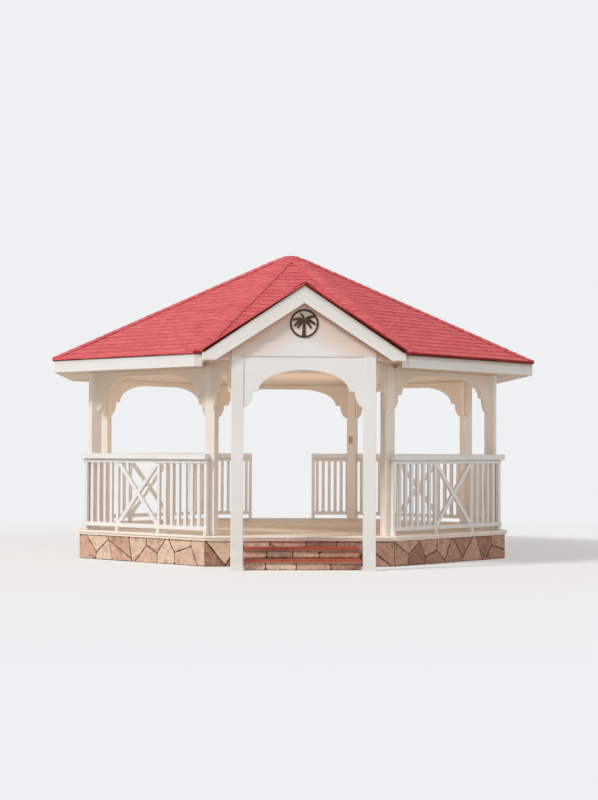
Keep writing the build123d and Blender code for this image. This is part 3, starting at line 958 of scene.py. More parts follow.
class GAZEBO_OT_railings(bpy.types.Operator):
    """Railings with pickets, a crossed panel in each long one, and short wings at the back doorway"""

    bl_idname = "gazebo.railings"
    bl_label = "Railings"

    def execute(self, context):
        sizes = context.scene.gazebo_sizes
        line, cap_half = (RAIL_OUT + RAIL_IN) / 2, (RAIL_OUT - RAIL_IN) / 2
        cap_low = RAIL_TOP - 0.070
        neck_low = cap_low - 0.010
        top_low = neck_low - 0.035
        bottom_low = DECK_TOP + 0.055
        bottom_top = bottom_low + 0.050
        picket_low = bottom_low + 0.01
        rail_half = line * WEDGE
        wide, deep = sizes.picket_width, sizes.picket_depth
        panel_half, panel_shift = 0.395, 0.110
        stile_x, end_x = panel_half - wide / 2, rail_half - wide / 2
        profile = ((cap_low, RAIL_TOP, cap_half, 0.007), (neck_low, cap_low, 0.020, 0.002),
                   (top_low, neck_low, 0.030, 0.003), (bottom_low, bottom_top, 0.030, 0.004))
        solid = Solid(sizes.seed + 40)
        runs = []

        def bars(place, x0, x1, mitre):
            for low, high, half, ease in profile:
                solid.board((x0, -line - half, low), (x1, -line + half, high), place, ease, mitre)

        def foot(place, x, half=0.0225, deep=0.028):
            solid.board((x - half, -line - deep, DECK_TOP), (x + half, -line + deep, picket_low), place)

        def pickets(place, turn, start, end, count):
            start, end = (place @ Vector((x, -line, picket_low)) for x in (start, end))
            runs.append({"start": start, "end": end, "count": count, "turn": turn,
                         "seed": sizes.seed + len(runs)})

        for angle in RAILINGS:
            place, turn = to_bay(angle), radians(angle)
            shift = panel_shift * sin(2 * turn)
            bars(place, -rail_half, rail_half, SIDES)
            for side in SIDES:
                near, far = shift + side * stile_x, side * end_x
                pickets(place, turn, near, far, round(abs(far - near) / sizes.picket_pitch) + 1)
                foot(place, near)
                foot(place, far)
            half, height = panel_half - wide, top_low - bottom_top
            middle = place @ shifted(shift, -line, bottom_top + height / 2)
            for side, depth in ((1, deep / 2), (-1, deep / 2 - 0.0015)):
                brace(solid, middle, half, height, depth, side)
        place, pitch, doorway_half = to_bay(180), 0.090, 0.450
        stile = doorway_half + wide / 2
        count = int((end_x - stile - 1.2 * wide) / pitch)
        for side in SIDES:
            bars(place, *sorted((side * doorway_half, side * rail_half)), (side,))
            pickets(place, pi, side * (end_x - count * pitch), side * end_x, count + 1)
            pickets(place, pi, side * stile, side * stile, 1)
            foot(place, side * stile)
            foot(place, side * end_x)
        solid.link("railing_rails", "trim_paint", "white_paint",
                   (*RAILINGS.values(), "railing_back_left", "railing_back_right"))
        tree = many("Railing pickets", picket_run(), runs, width=0.045, depth=0.038, height=0.8, ease=0.003,
                    material=None)
        grow("railing_pickets", tree, "trim_paint", "white_paint", width=wide, depth=deep,
             height=neck_low - picket_low, ease=0.003)
        return {"FINISHED"}


def brace(solid, place, half, height, depth, side):
    """A diagonal bar that fills a panel from corner to corner, its ends cut to the frame."""
    half_width = 0.025
    run = hypot(2 * half, height)
    ux, uz = 2 * half / run, height / run
    outline = rectangle(-half, half, -height / 2, height / 2)
    for normal in ((-uz, ux), (uz, -ux)):
        outline = cut(outline, normal, half_width)
    if side < 0:
        outline = [(-x, z) for x, z in reversed(outline)]
    stand = place @ axes((1, 0, 0), (0, 0, 1), (0, -1, 0))
    solid.plate(outline, depth * 2, stand @ shifted(0, 0, depth), 0.002)


class GAZEBO_OT_trim(bpy.types.Operator):
    """Fascia, barge boards and the gable wall of the porch"""

    bl_idname = "gazebo.trim"
    bl_label = "Fascia and gable"

    def execute(self, context):
        ease = context.scene.gazebo_sizes.ease
        eased_nodes("eave_fascias", ("eave_fascia", "porch_fascia_left", "porch_fascia_right"), 0.003,
                    "fascia_paint", 51)
        eased_nodes("barge_boards", ("barge_board_left", "barge_board_right"), ease, "barge_paint", 52)
        solid = Solid(53)
        stand = facing(0, PORCH_FRONT)
        joint_z = SILL_Z + 0.172
        top, slope = PEAK_Z - ROOF_THICKNESS, tan(GABLE_PITCH)
        depth, edge = PORCH_FRONT - GABLE_BACK, PORCH_POST_OUT
        wall_back, wing_back = 0.003, 0.025

        def under_roof(outline):
            return cut(cut(outline, (slope, 1), top), (-slope, 1), top)

        solid.plate(rectangle(-edge, edge, SILL_Z + 0.0005, joint_z - 0.0004), depth, stand, 0.002)
        wall = under_roof(rectangle(-edge, edge, joint_z + 0.0004, top))
        solid.plate(wall, depth - wall_back, stand @ shifted(0, 0, -wall_back), 0.001)
        for side in SIDES:
            x0, x1 = sorted((side * edge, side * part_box("gable_wall")[1].x))
            wing = under_roof(rectangle(x0, x1, PORCH_SOFFIT_Z, top))
            solid.plate(wing, depth - wing_back, stand @ shifted(0, 0, -wing_back), ease)
        solid.link("gable_boards", "gable_paint", "white_paint", ("gable_wall",))
        return {"FINISHED"}


class GAZEBO_OT_ceiling(bpy.types.Operator):
    """Grooved boards that close the roof from below"""

    bl_idname = "gazebo.ceiling"
    bl_label = "Ceiling boards"

    def execute(self, context):
        width, seam = context.scene.gazebo_sizes.ceiling_board, 0.0004
        solid = Solid(61)
        outer = FASCIA_FACE - 0.025
        notch_half, notch_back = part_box("porch_ceiling")[1].x, -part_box("porch_ceiling")[1].y
        for angle in range(-180, 180, 45):
            place = to_bay(angle) @ underside(SOFFIT_Z)
            for row in range(ceil(outer / width)):
                far = outer - row * width
                near = max(far - width, 0.0)
                strip = rectangle(-far * WEDGE, far * WEDGE, near + seam, far - seam)
                strip = cut(cut(strip, (1, -WEDGE), 0), (-1, -WEDGE), 0)
                pieces = [strip]
                if abs(angle) <= 45 and far > notch_back * 0.7:
                    # The boards end at the higher ceiling of the porch
                    a = radians(angle)
                    aside, back = (cos(a), sin(a)), (-cos(a), -sin(a))
                    pieces = [cut(strip, away, -notch_half) for away in (aside, back)]
                    inner = cut(cut(strip, aside, notch_half), back, notch_half)
                    pieces.append(cut(inner, (-sin(a), cos(a)), notch_back) if inner else [])
                for piece in pieces:
                    if len(piece) > 2 and area(piece) > 1e-3:
                        solid.plate(piece, 0.02, place, 0.004)
        # Boards that close the step up to the porch's ceiling
        low, top = SOFFIT_Z + 0.0005, SOFFIT_Z + 0.070
        for side in SIDES:
            x0, x1 = sorted((side * (notch_half + 0.0005), side * (notch_half + 0.022)))
            solid.board((x0, -outer, low), (x1, -notch_back + 0.02, top), None, 0.002)
        solid.board((-notch_half, -notch_back + 0.0005, low), (notch_half, -notch_back + 0.022, top),
                    None, 0.002)
        solid.link("ceiling_boards", "ceiling_paint", "white_paint", ("ceiling",))
        porch = Solid(62)
        count = ceil((GABLE_BACK - notch_back) / width)
        step = (GABLE_BACK - notch_back) / count
        for row in range(count):
            near = notch_back + row * step
            porch.plate(rectangle(-notch_half, notch_half, near + seam, near + step - seam), 0.02,
                        underside(PORCH_SOFFIT_Z), 0.004)
        porch.link("porch_ceiling_boards", "ceiling_paint", "white_paint", ("porch_ceiling",))
        return {"FINISHED"}


EAVE_LINE = ROOF_APOTHEM - 0.004
SUNK = 0.010


def sloping(ahead, pitch):
    """The directions up and out of a slope that faces this way."""
    level, upright = Vector(ahead), Vector((0, 0, 1))
    return upright * sin(pitch) - level * cos(pitch), level * sin(pitch) + upright * cos(pitch)


def roof_slopes(seed):
    """The lines of the eight main slopes and the two of the porch."""
    rows = []
    half, lean = EAVE_LINE * WEDGE, cos(PITCH) * WEDGE
    for i in range(8):
        a = radians(45 * i)
        ahead = Vector((sin(a), -cos(a), 0))
        up, out = sloping(ahead, PITCH)
        rows.append({"origin": ahead * EAVE_LINE + Vector((0, 0, EAVE_TOP_Z)) - out * SUNK,
                     "along": Vector((cos(a), sin(a), 0)), "up": up, "out": out,
                     "left": -half, "left_lean": lean, "right": half, "right_lean": -lean,
                     "gap": -1.0 if i else PORCH_ROOF_HALF,
                     "gap_lean": 0.0 if i else -sin(PITCH) / tan(GABLE_PITCH),
                     "length": (EAVE_LINE - 0.10) / cos(PITCH), "seed": seed + i * 31})
    valley = (ROOF_APOTHEM, -tan(GABLE_PITCH) / tan(PITCH) * cos(GABLE_PITCH))
    rake = (RAKE_FRONT - 0.003, 0.0)
    for side in SIDES:
        up, out = sloping((side, 0, 0), GABLE_PITCH)
        left, right = (valley, rake) if side < 0 else ([-v for v in rake], [-v for v in valley])
        rows.append({"origin": Vector((side * (PORCH_ROOF_HALF - 0.004), 0, EAVE_TOP_Z)) - out * SUNK,
                     "along": Vector((0, side, 0)), "up": up, "out": out,
                     "left": left[0], "left_lean": left[1], "right": right[0], "right_lean": right[1],
                     "gap": -1.0, "gap_lean": 0.0,
                     "length": PORCH_ROOF_HALF / cos(GABLE_PITCH) - 0.01, "seed": seed + 400 + side})
    return rows


class GAZEBO_OT_shingles(bpy.types.Operator):
    """Courses of shingle tabs on the main roof and the porch roof"""

    bl_idname = "gazebo.shingles"
    bl_label = "Shingles"

    def execute(self, context):
        sizes = context.scene.gazebo_sizes
        tree = many("Roof shingles", shingle_slope(), roof_slopes(sizes.seed), exposure=0.14, tab=0.25,
                    thickness=0.006, material=None)
        grow("roof_shingles", tree, "red_shingle", "red_shingle", ("main_roof", "porch_roof"), True,
             exposure=sizes.exposure, tab=sizes.tab, thickness=sizes.shingle)
        return {"FINISHED"}


class GAZEBO_OT_caps(bpy.types.Operator):
    """Cap shingles on the hips, the porch ridge and the top"""

    bl_idname = "gazebo.caps"
    bl_label = "Hip and ridge caps"

    def execute(self, context):
        sizes = context.scene.gazebo_sizes
        rows = []
        reach = EAVE_LINE / cos(HALF_BAY)
        hip_pitch = atan2(tan(PITCH) * cos(HALF_BAY), 1)
        fold = atan2(tan(PITCH) * sin(HALF_BAY) * cos(hip_pitch), 1)
        for i in range(8):
            a = radians(45 * i + 22.5)
            ahead = Vector((sin(a), -cos(a), 0))
            along, out = sloping(ahead, hip_pitch)
            rows.append({"origin": ahead * reach + Vector((0, 0, EAVE_TOP_Z)) - out * 0.006, "along": along,
                         "side": along.cross(out), "out": out, "length": (reach - 0.20) / cos(hip_pitch),
                         "fold": fold, "notch": WEDGE / cos(hip_pitch), "seed": sizes.seed + 60 + i})
        rows.append({"origin": Vector((0, -RAKE_FRONT + 0.003, PEAK_Z - 0.012)), "along": Vector((0, 1, 0)),
                     "side": Vector((1, 0, 0)), "out": Vector((0, 0, 1)), "fold": GABLE_PITCH, "notch": 0.0,
                     "length": RAKE_FRONT - RIDGE_BACK + 0.02, "seed": sizes.seed + 80})
        tree = many("Hip and ridge caps", cap_row(), rows, exposure=0.14, half=0.125, thickness=0.006,
                    material=None)
        grow("hip_caps", tree, "red_shingle", "red_shingle", (), True, exposure=sizes.exposure,
             half=sizes.cap, thickness=0.007)
        return {"FINISHED"}


class GAZEBO_OT_roof_edge(bpy.types.Operator):
    """Sheathing under the shingles, the course of shingle ends along its edge, and the blunt top of the roof"""

    bl_idname = "gazebo.roof_edge"
    bl_label = "Roof edge and top"

    def execute(self, context):
        solid = Solid(71)
        inner, cover = ROOF_APOTHEM - 0.016, 0.017

        def slope_z(apothem, drop):
            return EAVE_TOP_Z + (ROOF_APOTHEM - apothem) * tan(PITCH) - drop

        # The main sheathing: a shallow shell with an upright band at its edge; its near-black finish is the
        # underlay and paints the shadow line under the shingle ends.
        rings = ((inner, ROOF_EDGE_Z + 0.004), (inner, EAVE_TOP_Z - 0.014), (0.12, slope_z(0.12, cover)),
                 (0.12, slope_z(0.12, cover + 0.03)), (inner - 0.03, ROOF_EDGE_Z + 0.016),
                 (inner - 0.03, ROOF_EDGE_Z + 0.004))
        solid.add([(x, y, z) for apothem, z in rings for x, y in octagon(apothem)], bands(8, len(rings), True))
        solid.link("roof_sheathing", "roof_underlay", "red_shingle")
        porch = Solid(72)
        top, half, low = PEAK_Z - 0.018, PORCH_ROOF_HALF - 0.016, EAVE_TOP_Z - 0.040
        line = [(0, top), (half, top - tan(GABLE_PITCH) * half), (half, low), (half - 0.04, low),
                (0, top - 0.030)]
        n = len(line)
        for side in SIDES:
            points = [(side * x, -y, z) for y in (RAKE_FRONT - 0.014, RIDGE_BACK + 0.05) for x, z in line]
            porch.add(points, [list(range(n)), list(range(n, 2 * n))[::-1]] + bands(n, 1))
        porch.link("porch_sheathing", "roof_underlay", "red_shingle")
        self.edge_course()
        self.top()
        return {"FINISHED"}

    def edge_course(self):
        """Shingle ends along the eaves and up the rakes; those on the side away from the key light get a darker
        tone, a painted shade.
        """
        solid = Solid(74)
        reach = ROOF_APOTHEM - 0.003
        half = reach * WEDGE
        low, high, thick = ROOF_EDGE_Z + 0.012, EAVE_TOP_Z - 0.006, 0.03
        for angle in (0, 45, 90, 135, -180, -135, -90, -45):
            spans = [(-half, half, SIDES)]
            if angle == 0:
                spans = [(-half, -PORCH_ROOF_HALF, (-1,)), (PORCH_ROOF_HALF, half, (1,))]
            for start, end, mitre in spans:
                # Tone 0.0 keeps the ends on the left bays lit red; 0.9 paints those on the right in shade.
                edge_tabs(solid, to_bay(angle), start, end, low, high, -reach, -reach + thick, mitre,
                          0.0 if angle < 0 else 0.9)
        porch, front = PORCH_ROOF_HALF - 0.003, RAKE_FRONT - 0.003
        for side in SIDES:
            # Painted shade: the rake and side ends on the right take the shaded red.
            tone = 0.0 if side < 0 else 0.9
            ends = sorted((-side * ROOF_APOTHEM * 0.99, -side * front))
            edge_tabs(solid, to_bay(90 * side), *ends, low, high, -porch, -porch + thick, (), tone)
            up, out = sloping((side, 0, 0), GABLE_PITCH)
            place = axes(up, (0, -side, 0), out, (side * porch, -front, EAVE_TOP_Z))
            length = PORCH_ROOF_HALF / cos(GABLE_PITCH) - 0.012
            edge_tabs(solid, place, 0.002, length, -0.030, -0.008, 0.0, -side * 0.05, (), tone)
        solid.link("roof_edge_course", "edge_shingle", "red_shingle")

    def top(self):
        """Lapped rings of cap pieces that close over the hips to a blunt top."""
        cap = Solid(73)
        lap, outermost = 0.007, 0.262
        radius, z = outermost, EAVE_TOP_Z + (ROOF_APOTHEM - outermost) * tan(PITCH) - 0.004
        profile = []
        for step, slope in ((0.078, 24.0), (0.066, 17.0), (0.062, 9.0), (0.044, 3.0)):
            profile += [(radius, z), (radius - 0.002, z + lap)]
            z += lap + (step - 0.002) * tan(radians(slope)) - 0.004
            radius -= step
        profile += [(radius, z), (radius - 0.008, z + 0.002)]
        lift = ROOF_TOP_Z - 0.002 - profile[-1][1]
        profile = [(r, z + lift * (1 - r / outermost)) for r, z in profile]
        rings = [(0.20, profile[0][1] - 0.02)] + profile
        points = [(x, y, z) for radius, z in rings for x, y in octagon(radius)]
        last = 8 * len(profile)
        cap.add(points, [list(range(8))[::-1], list(range(last, last + 8))] + bands(8, len(profile)), None, 0.3)
        cap.link("roof_top", "red_shingle", "red_shingle", ("roof_cap",))


def edge_tabs(solid, place, start, end, low, high, front, back, mitre, tone):
    """A row of shingle ends along x, each with a slightly different lower edge."""
    random = solid.random
    count = max(1, round((end - start) / 0.29))
    marks = [start] + [start + (end - start) * (i + random.uniform(-0.2, 0.2)) / count
                       for i in range(1, count)] + [end]
    for i in range(count):
        ends = [side for side, last in ((-1, 0), (1, count - 1)) if i == last and side in mitre]
        y0, y1 = sorted((front - random.uniform(0.0, 0.003) * (1 if front > back else -1), back))
        shade = min(1.0, max(0.0, tone + random.uniform(-0.12, 0.12)))
        solid.board((marks[i] + 0.001, y0, low + random.uniform(-0.003, 0.004)),
                    (marks[i + 1] - 0.001, y1, high), place, 0.0015, tuple(ends), shade)


def ragged(outline, random, step=0.034, bite=0.007):
    """A counter-clockwise outline whose sides are broken up by small bites."""
    rough = []
    for n, p in enumerate(outline):
        q = outline[(n + 1) % len(outline)]
        span = hypot(q[0] - p[0], q[1] - p[1])
        rough.append(p)
        count = max(1, round(span / step))
        for k in range(1, count):
            share, deep = k / count, random.uniform(0.0, bite) / span
            rough.append((p[0] + (q[0] - p[0]) * share + (p[1] - q[1]) * deep,
                          p[1] + (q[1] - p[1]) * share + (q[0] - p[0]) * deep))
    return rough


def crazy_paving(solid, width, height, place, size, joint, tones=(0.0, 1.0)):
    """Irregular flat stones that fill a rectangle, with open joints between them."""
    random = solid.random
    columns = max(2, round(width / (size * 1.25)))
    rows = max(1, round(height / (size * 0.72)))
    farthest, smallest, bed, thick = 1.6, 0.0012, 0.003, 0.016
    seeds = []
    for row, column in product(range(rows), range(columns)):
        x = (column + 0.5 + 0.25 * (row % 2 * 2 - 1) + random.uniform(-0.34, 0.34)) * width / columns
        y = (row + 0.5 + random.uniform(-0.30, 0.30)) * height / rows
        seeds.append((x - width / 2, y))
    for i, (x, y) in enumerate(seeds):
        cell = rectangle(-width / 2 + joint / 2, width / 2 - joint / 2, bed, height - bed)
        for ox, oy in seeds[:i] + seeds[i + 1:]:
            gap = hypot(ox - x, oy - y)
            if gap <= farthest:
                nx, ny = (ox - x) / gap, (oy - y) / gap
                cell = cut(cell, (nx, ny), nx * (x + ox) / 2 + ny * (y + oy) / 2 - joint / 2)
        if area(cell) < smallest:
            continue
        worn = []
        for n, p in enumerate(cell):
            for other in (cell[n - 1], cell[(n + 1) % len(cell)]):
                span = hypot(other[0] - p[0], other[1] - p[1])
                share = min(0.3, random.uniform(0.008, 0.03) / span)
                worn.append((p[0] + (other[0] - p[0]) * share, p[1] + (other[1] - p[1]) * share))
        worn = ragged(worn, Random(7 * i + round(1000 * width)))
        solid.plate(worn, thick, place, 0.004, random.uniform(*tones), random.uniform(-0.004, 0.0), 0.012)


def steps_of(front):
    """Each step's top and front, the upper one first, and their depth; the lower one ends at this front."""
    run = (front - PLINTH_APOTHEM) / 2
    return [(DECK_TOP / 3 * (2 - i), PLINTH_APOTHEM + run * (i + 1)) for i in range(2)], run


class GAZEBO_OT_plinth(bpy.types.Operator):
    """Plinth faced with irregular stones, and the stone risers of the steps"""

    bl_idname = "gazebo.plinth"
    bl_label = "Stone plinth"

    def execute(self, context):
        sizes = context.scene.gazebo_sizes
        core, stones = Solid(81), Solid(82)
        face, recess, tread = PLINTH_APOTHEM, 0.011, 0.040
        low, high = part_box("entrance_steps")
        half = high.x
        steps, run = steps_of(-low.y)
        core.plate(octagon(face - recess), DECK_LOW, shifted(0, 0, DECK_LOW), 0.001)
        for top, front in steps:
            core.board((-half + recess, -front + recess, 0), (half - recess, -face, top - tread), None, 0.001)
        core.link("plinth_core", "joint_mortar", "plinth_stone", ("stone_plinth", "entrance_steps"))
        for i in range(8):
            # Painted shade: the stones on the two faces to the right, away from the key light, take only the
            # darker tones.
            tones = (0.45, 1.0) if i in (1, 2) else (0.0, 1.0)
            crazy_paving(stones, 2 * face * WEDGE, DECK_LOW, facing(45 * i, face), sizes.stone, sizes.joint,
                         tones=tones)
        for i, (top, front) in enumerate(steps):
            height, bottom = top - tread, 0.0 if i else DECK_TOP / 3
            crazy_paving(stones, 2 * half, height - bottom, facing(0, front, bottom), sizes.stone * 0.9,
                         sizes.joint)
            for side in SIDES:
                wall = facing(90 * side, half) @ shifted(-side * (front - run / 2), 0, 0)
                crazy_paving(stones, run, height, wall, sizes.stone * 0.9, sizes.joint)
        stones.link("plinth_stones", "plinth_stone", "plinth_stone")
        return {"FINISHED"}


class GAZEBO_OT_deck(bpy.types.Operator):
    """Floor of the gazebo with a rounded edge, laid in large slabs"""

    bl_idname = "gazebo.deck"
    bl_label = "Deck"

    def execute(self, context):
        solid, edging = Solid(91), Solid(92)
        thick, seam = 0.026, 0.0008
        base, level = DECK_TOP - thick, shifted(0, 0, DECK_TOP)
        edging.plate(octagon(DECK_APOTHEM - 0.012), base - DECK_LOW, shifted(0, 0, base), 0.008)
        # Edge slabs, four to a bay, with a rounded front; their whiter finish is partly their own paler colour
        # and partly painted sunlight on the deck's edge
        outer, inner = DECK_APOTHEM, DECK_APOTHEM - 0.30
        full = 2 * outer * WEDGE
        for i, n in product(range(8), range(4)):
            slab = rectangle((n / 4 - 0.5) * full + seam, ((n + 1) / 4 - 0.5) * full - seam, -outer, -inner)
            slab = cut(cut(slab, (1, WEDGE), -seam), (-1, WEDGE), -seam)
            edging.plate(slab, thick, to_bay(45 * i) @ level, 0.007)
        step = 0.60
        count = ceil(inner / step)
        for row, column in product(range(-count, count), repeat=2):
            slab = rectangle(column * step + seam, (column + 1) * step - seam,
                             row * step + seam, (row + 1) * step - seam)
            for a in (radians(45 * k) for k in range(8)):
                slab = cut(slab, (cos(a), sin(a)), inner - 0.0015)
            if area(slab) > 2e-4:
                solid.plate(slab, thick, level, 0.0015)
        solid.link("deck_slabs", "deck_finish", "deck_paint", ("floor_deck",))
        edging.link("deck_edging", "edging_finish", "deck_paint")
        return {"FINISHED"}


class GAZEBO_OT_treads(bpy.types.Operator):
    """Tiled treads with a square nosing"""

    bl_idname = "gazebo.treads"
    bl_label = "Tiled treads"

    def execute(self, context):
        low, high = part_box("step_treads")
        nosing, width, count = 0.020, high.x - low.x, 5
        steps, run = steps_of(-low.y - nosing)
        tiles, beds = [], Solid(101)
        for i, (top, riser) in enumerate(steps):
            front, back = riser + nosing, riser - run
            beds.board((low.x + 0.002, -front + 0.004, top - 0.040), (high.x - 0.002, -back, top - 0.003),
                       None, 0.001)
            tiles.append({"corner": Vector((low.x, -front, top)), "columns": count, "rows": 1,
                          "width": width / count, "depth": front - back - 0.004, "seed": 5 + i})
        beds.link("tread_beds", "tile_grout", "red_tile")
        tree = many("Tread tiles", tile_field(), tiles, height=0.016, joint=0.004, material=None)
        grow("tread_tiles", tree, "red_tile", "red_tile", ("step_treads",), height=0.030, joint=0.004)
        return {"FINISHED"}


class GAZEBO_OT_medallion(bpy.types.Operator):
    """Round ornament with a palm tree"""

    bl_idname = "gazebo.medallion"
    bl_label = "Palm medallion"

    def execute(self, context):
        low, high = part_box("palm_medallion")
        radius, depth = (high.x - low.x) / 2, high.y - low.y
        place = facing(0, PORCH_FRONT - 0.0035, (low.z + high.z) / 2)
        solid = Solid(111)
        field, count = radius - 0.023, 64
        profile = [(radius, 0.0), (radius, depth * 0.7), (radius - 0.004, depth), (field + 0.004, depth),
                   (field, depth * 0.7), (field, 0.0)]
        turns = [2 * pi * i / count for i in range(count)]
        points = [(r * cos(a), r * sin(a), z) for a in turns for r, z in profile]
        n = len(profile)
        faces = [[i * n + k, (i + 1) % count * n + k, (i + 1) % count * n + (k + 1) % n, i * n + (k + 1) % n]
                 for i in range(count) for k in range(n)]
        solid.add(points, faces, place)
        crown = (0.02 * field, 0.24 * field)
        trunk(solid, place, field, crown, depth)
        fronds = ((150, 0.30, 0.92), (178, 0.34, 0.90), (212, 0.18, 0.80), (98, 0.24, 0.66),
                  (48, 0.30, 0.91), (12, 0.36, 0.92), (-30, 0.20, 0.82))
        for number, (angle, bend, size) in enumerate(fronds):
            # Each leaf's face lies a little below the one before, so no two share a plane
            frond(solid, place, crown, angle, bend, size * field, depth * (0.985 - 0.013 * number))
        solid.link("palm_relief", "medallion_bronze", "dark_bronze", ("palm_medallion",))
        return {"FINISHED"}


def ribbon(solid, place, line, widths, low, high):
    """A flat bar along a line in the plane, with a width at each of its points."""
    line = [Vector(p) for p in line]
    left, right = [], []
    for i, (p, w) in enumerate(zip(line, widths)):
        d = (line[min(i + 1, len(line) - 1)] - line[max(i - 1, 0)]).normalized()
        side = Vector((-d.y, d.x)) * w / 2
        left.append(p + side)
        right.append(p - side)
    loop = left + right[::-1]
    n = len(loop)
    points = [(p.x, p.y, z) for z in (low, high) for p in loop]
    faces = [[base + i, base + i + 1, base + n - 2 - i, base + n - 1 - i]
             for base in (0, n) for i in range(len(line) - 1)]
    solid.add(points, faces + bands(n, 1), place)


def trunk(solid, place, field, crown, depth):
    """A stem that narrows on its way up to the crown, from the ring's lowest point."""
    foot = (-0.03 * field, -1.0 * field)
    shares = [i / 6 for i in range(7)]
    line = [(foot[0] + (crown[0] - foot[0]) * s ** 1.5, foot[1] + (crown[1] - foot[1]) * s) for s in shares]
    ribbon(solid, place, line, [field * (0.30 - 0.11 * s) for s in shares], 0.0, depth * 0.9)


def frond(solid, place, crown, angle, bend, length, depth):
    """A broad drooping leaf with short leaflets along both edges."""
    a = radians(angle)
    droop = bend if cos(a) >= 0 else -bend
    count = 8
    line = [Vector(crown)]
    for i in range(1, count + 1):
        turn = a - droop * 2.6 * i / count
        line.append(line[-1] + Vector((cos(turn), sin(turn))) * length / count)
    widths = [length * (0.09 + 0.19 * sin(pi * (i / count) ** 0.85)) for i in range(count + 1)]
    ribbon(solid, place, line, widths, depth * 0.3, depth)
    for i, side in product(range(1, count + 1), SIDES):
        p, q = line[i - 1], line[i]
        d = (q - p).normalized()
        lean = d * 0.75 + Vector((-d.y, d.x)) * side * 0.75
        reach = length * (0.22 - 0.12 * abs(i / count - 0.5)) * (0.7 if side * cos(a) > 0 else 1.0)
        tip = q + lean.normalized() * reach
        ribbon(solid, place, [p, (p + tip) / 2, tip], [length * 0.07, length * 0.075, length * 0.012],
               depth * 0.25, depth * (0.74 + 0.02 * (i % 3) + 0.01 * (side > 0)))


class GAZEBO_OT_boxes(bpy.types.Operator):
    """Small switch box on one of the posts"""

    bl_idname = "gazebo.boxes"
    bl_label = "Post box"

    def execute(self, context):
        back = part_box("post_back_right")
        switch = Solid(121)
        middle = (back[0] + back[1]) / 2
        inward = Vector((-middle.x, -middle.y, 0)).normalized()
        post_half, height = 0.065, 1.537
        face = middle + inward * post_half
        place = shifted(face.x, face.y, height) @ Matrix.Rotation(atan2(inward.x, -inward.y), 4, "Z")
        switch.board((-0.034, -0.012, -0.052), (0.026, 0.0, 0.052), place)
        for low in (-0.040, 0.006):
            switch.board((-0.022, -0.019, low), (0.014, -0.010, low + 0.034), place)
        switch.link("switch_box", "socket_brown", "white_paint")
        return {"FINISHED"}


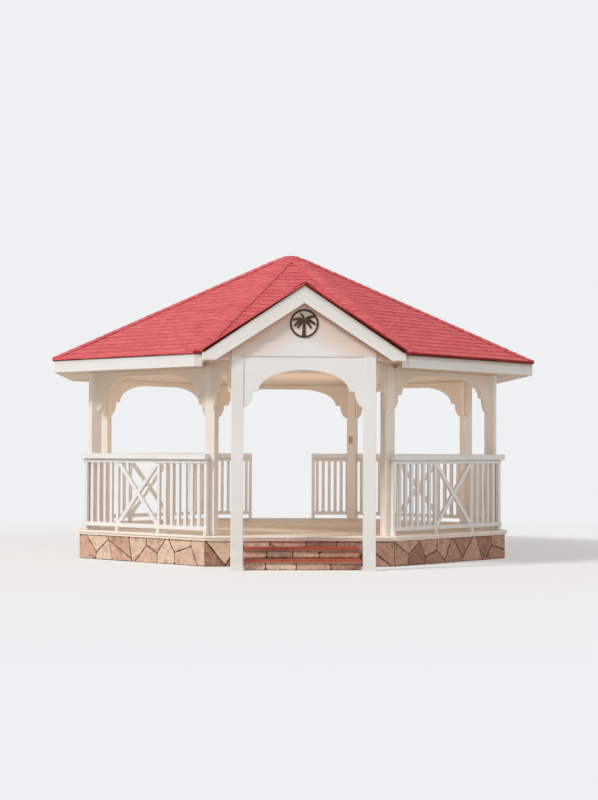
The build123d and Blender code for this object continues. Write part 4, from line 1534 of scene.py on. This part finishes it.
class GAZEBO_OT_stage(bpy.types.Operator):
    """Floor, soft studio light and the camera"""

    bl_idname = "gazebo.stage"
    bl_label = "Stage"

    def execute(self, context):
        scene = context.scene

        def shown(name, data):
            made = bpy.data.objects.new(name, data)
            scene.collection.objects.link(made)
            return made

        mesh = bpy.data.meshes.new("studio_floor")
        reach = 400
        corners = [(x, y, 0) for x, y in rectangle(-reach, reach, -reach, reach)]
        mesh.from_pydata(corners, [], [(0, 1, 2, 3)])
        pale = (0.86, 0.875, 0.89, 1.0)
        f = Finish("studio_floor")
        spot, seen = f.where(), f.seen_directly()
        color = f.mix((228, 224, 218), (222, 217, 211), f.noise(spot, 0.6, 2.0))
        f.done(f.mix(color, (252, 251, 249), seen), 0.9, specular=0.0)
        # Far off the floor runs into the backdrop, so no horizon shows
        x, y, _ = f.parts(spot)
        away = f.span((x * x + y * y) ** 0.5, 4.5, 13.0, 0.35, 1.0)
        glow = f.node("ShaderNodeEmission", None, {"Color": pale})
        ends = f.node("ShaderNodeMixShader", None, {0: away * seen, 1: Wire(f, f.shader.outputs[0]), 2: glow})
        f.feed(f.tree.nodes["Material Output"].inputs["Surface"], ends)
        mesh.materials.append(f.material)
        shown("studio_floor", mesh)
        world = bpy.data.worlds.new("studio")
        world.use_nodes = True
        scene.world = world
        g = Finish.over(world.node_tree)
        back = world.node_tree.nodes["Background"]
        seen = g.seen_directly()
        g.feed(back.inputs["Color"], g.mix((1.0, 0.975, 0.95, 1.0), pale, seen))
        g.feed(back.inputs["Strength"], seen * 0.58 + 0.42)
        lamps = (("key", (50, 0, -58), 1.98, 10, (1.0, 0.985, 0.97)),
                 ("front", (86, 0, 4), 0.12, 30, (1.0, 0.985, 0.975)),
                 ("fill", (74, 0, 46), 0.30, 40, (1.0, 0.98, 0.965)))
        for name, turn, power, spread, color in lamps:
            light = bpy.data.lights.new(name, "SUN")
            light.energy, light.angle, light.color = power, radians(spread), color
            shown(name, light).rotation_euler = Euler([radians(t) for t in turn])
        # Soft light thrown up from the deck, as a sunlit floor does
        light = bpy.data.lights.new("deck_glow", "AREA")
        light.shape, light.size, light.energy, light.color = "DISK", 3.6, 52.0, (1.0, 0.955, 0.905)
        lamp = shown("deck_glow", light)
        lamp.location = (0, 0, DECK_TOP + 0.12)
        lamp.rotation_euler = Euler((pi - 0.62, 0, 0))
        lamp.visible_camera = lamp.visible_glossy = False
        data = bpy.data.cameras.new("camera")
        data.sensor_width, data.lens, data.clip_end = 36.0, 75.40, 300.0
        turn, lift, roll = radians(2.9356), radians(1.7725), radians(0.2245)
        ahead = Vector((sin(turn) * cos(lift), cos(turn) * cos(lift), sin(lift)))
        right = Vector((cos(turn), -sin(turn), 0))
        up = right.cross(ahead)
        right, up = right * cos(roll) + up * sin(roll), up * cos(roll) - right * sin(roll)
        scene.camera = shown("camera", data)
        scene.camera.matrix_world = axes(right, up, -ahead, (-1.037, -22.535, 1.356))
        scene.view_settings.view_transform = "Standard"
        return {"FINISHED"}


STEPS = ("stage", "plinth", "deck", "treads", "posts", "arches", "railings", "trim", "ceiling",
         "roof_edge", "shingles", "caps", "medallion", "boxes")


class GAZEBO_PT_panel(bpy.types.Panel):
    """Lists the gazebo's settings and the steps that build it"""

    bl_idname = "GAZEBO_PT_panel"
    bl_label = "Gazebo"
    bl_space_type = "VIEW_3D"
    bl_region_type = "UI"
    bl_category = "Gazebo"

    def draw(self, context):
        for group in (context.scene.gazebo_sizes, context.scene.gazebo_colors):
            box = self.layout.box()
            for name in group.__annotations__:
                box.prop(group, name)
        for step in STEPS:
            self.layout.operator("gazebo." + step)


CLASSES = (GazeboSizes, GazeboColors, GAZEBO_OT_stage, GAZEBO_OT_plinth, GAZEBO_OT_deck, GAZEBO_OT_treads,
           GAZEBO_OT_posts, GAZEBO_OT_arches, GAZEBO_OT_railings, GAZEBO_OT_trim, GAZEBO_OT_ceiling,
           GAZEBO_OT_roof_edge, GAZEBO_OT_shingles, GAZEBO_OT_caps, GAZEBO_OT_medallion, GAZEBO_OT_boxes,
           GAZEBO_PT_panel)


def register():
    for item in CLASSES:
        bpy.utils.register_class(item)
    bpy.types.Scene.gazebo_sizes = PointerProperty(type=GazeboSizes)
    bpy.types.Scene.gazebo_colors = PointerProperty(type=GazeboColors)


def unregister():
    del bpy.types.Scene.gazebo_sizes
    del bpy.types.Scene.gazebo_colors
    for item in reversed(CLASSES):
        bpy.utils.unregister_class(item)


def main():
    register()
    for step in STEPS:
        getattr(bpy.ops.gazebo, step)()


if __name__ == "__main__":
    main()
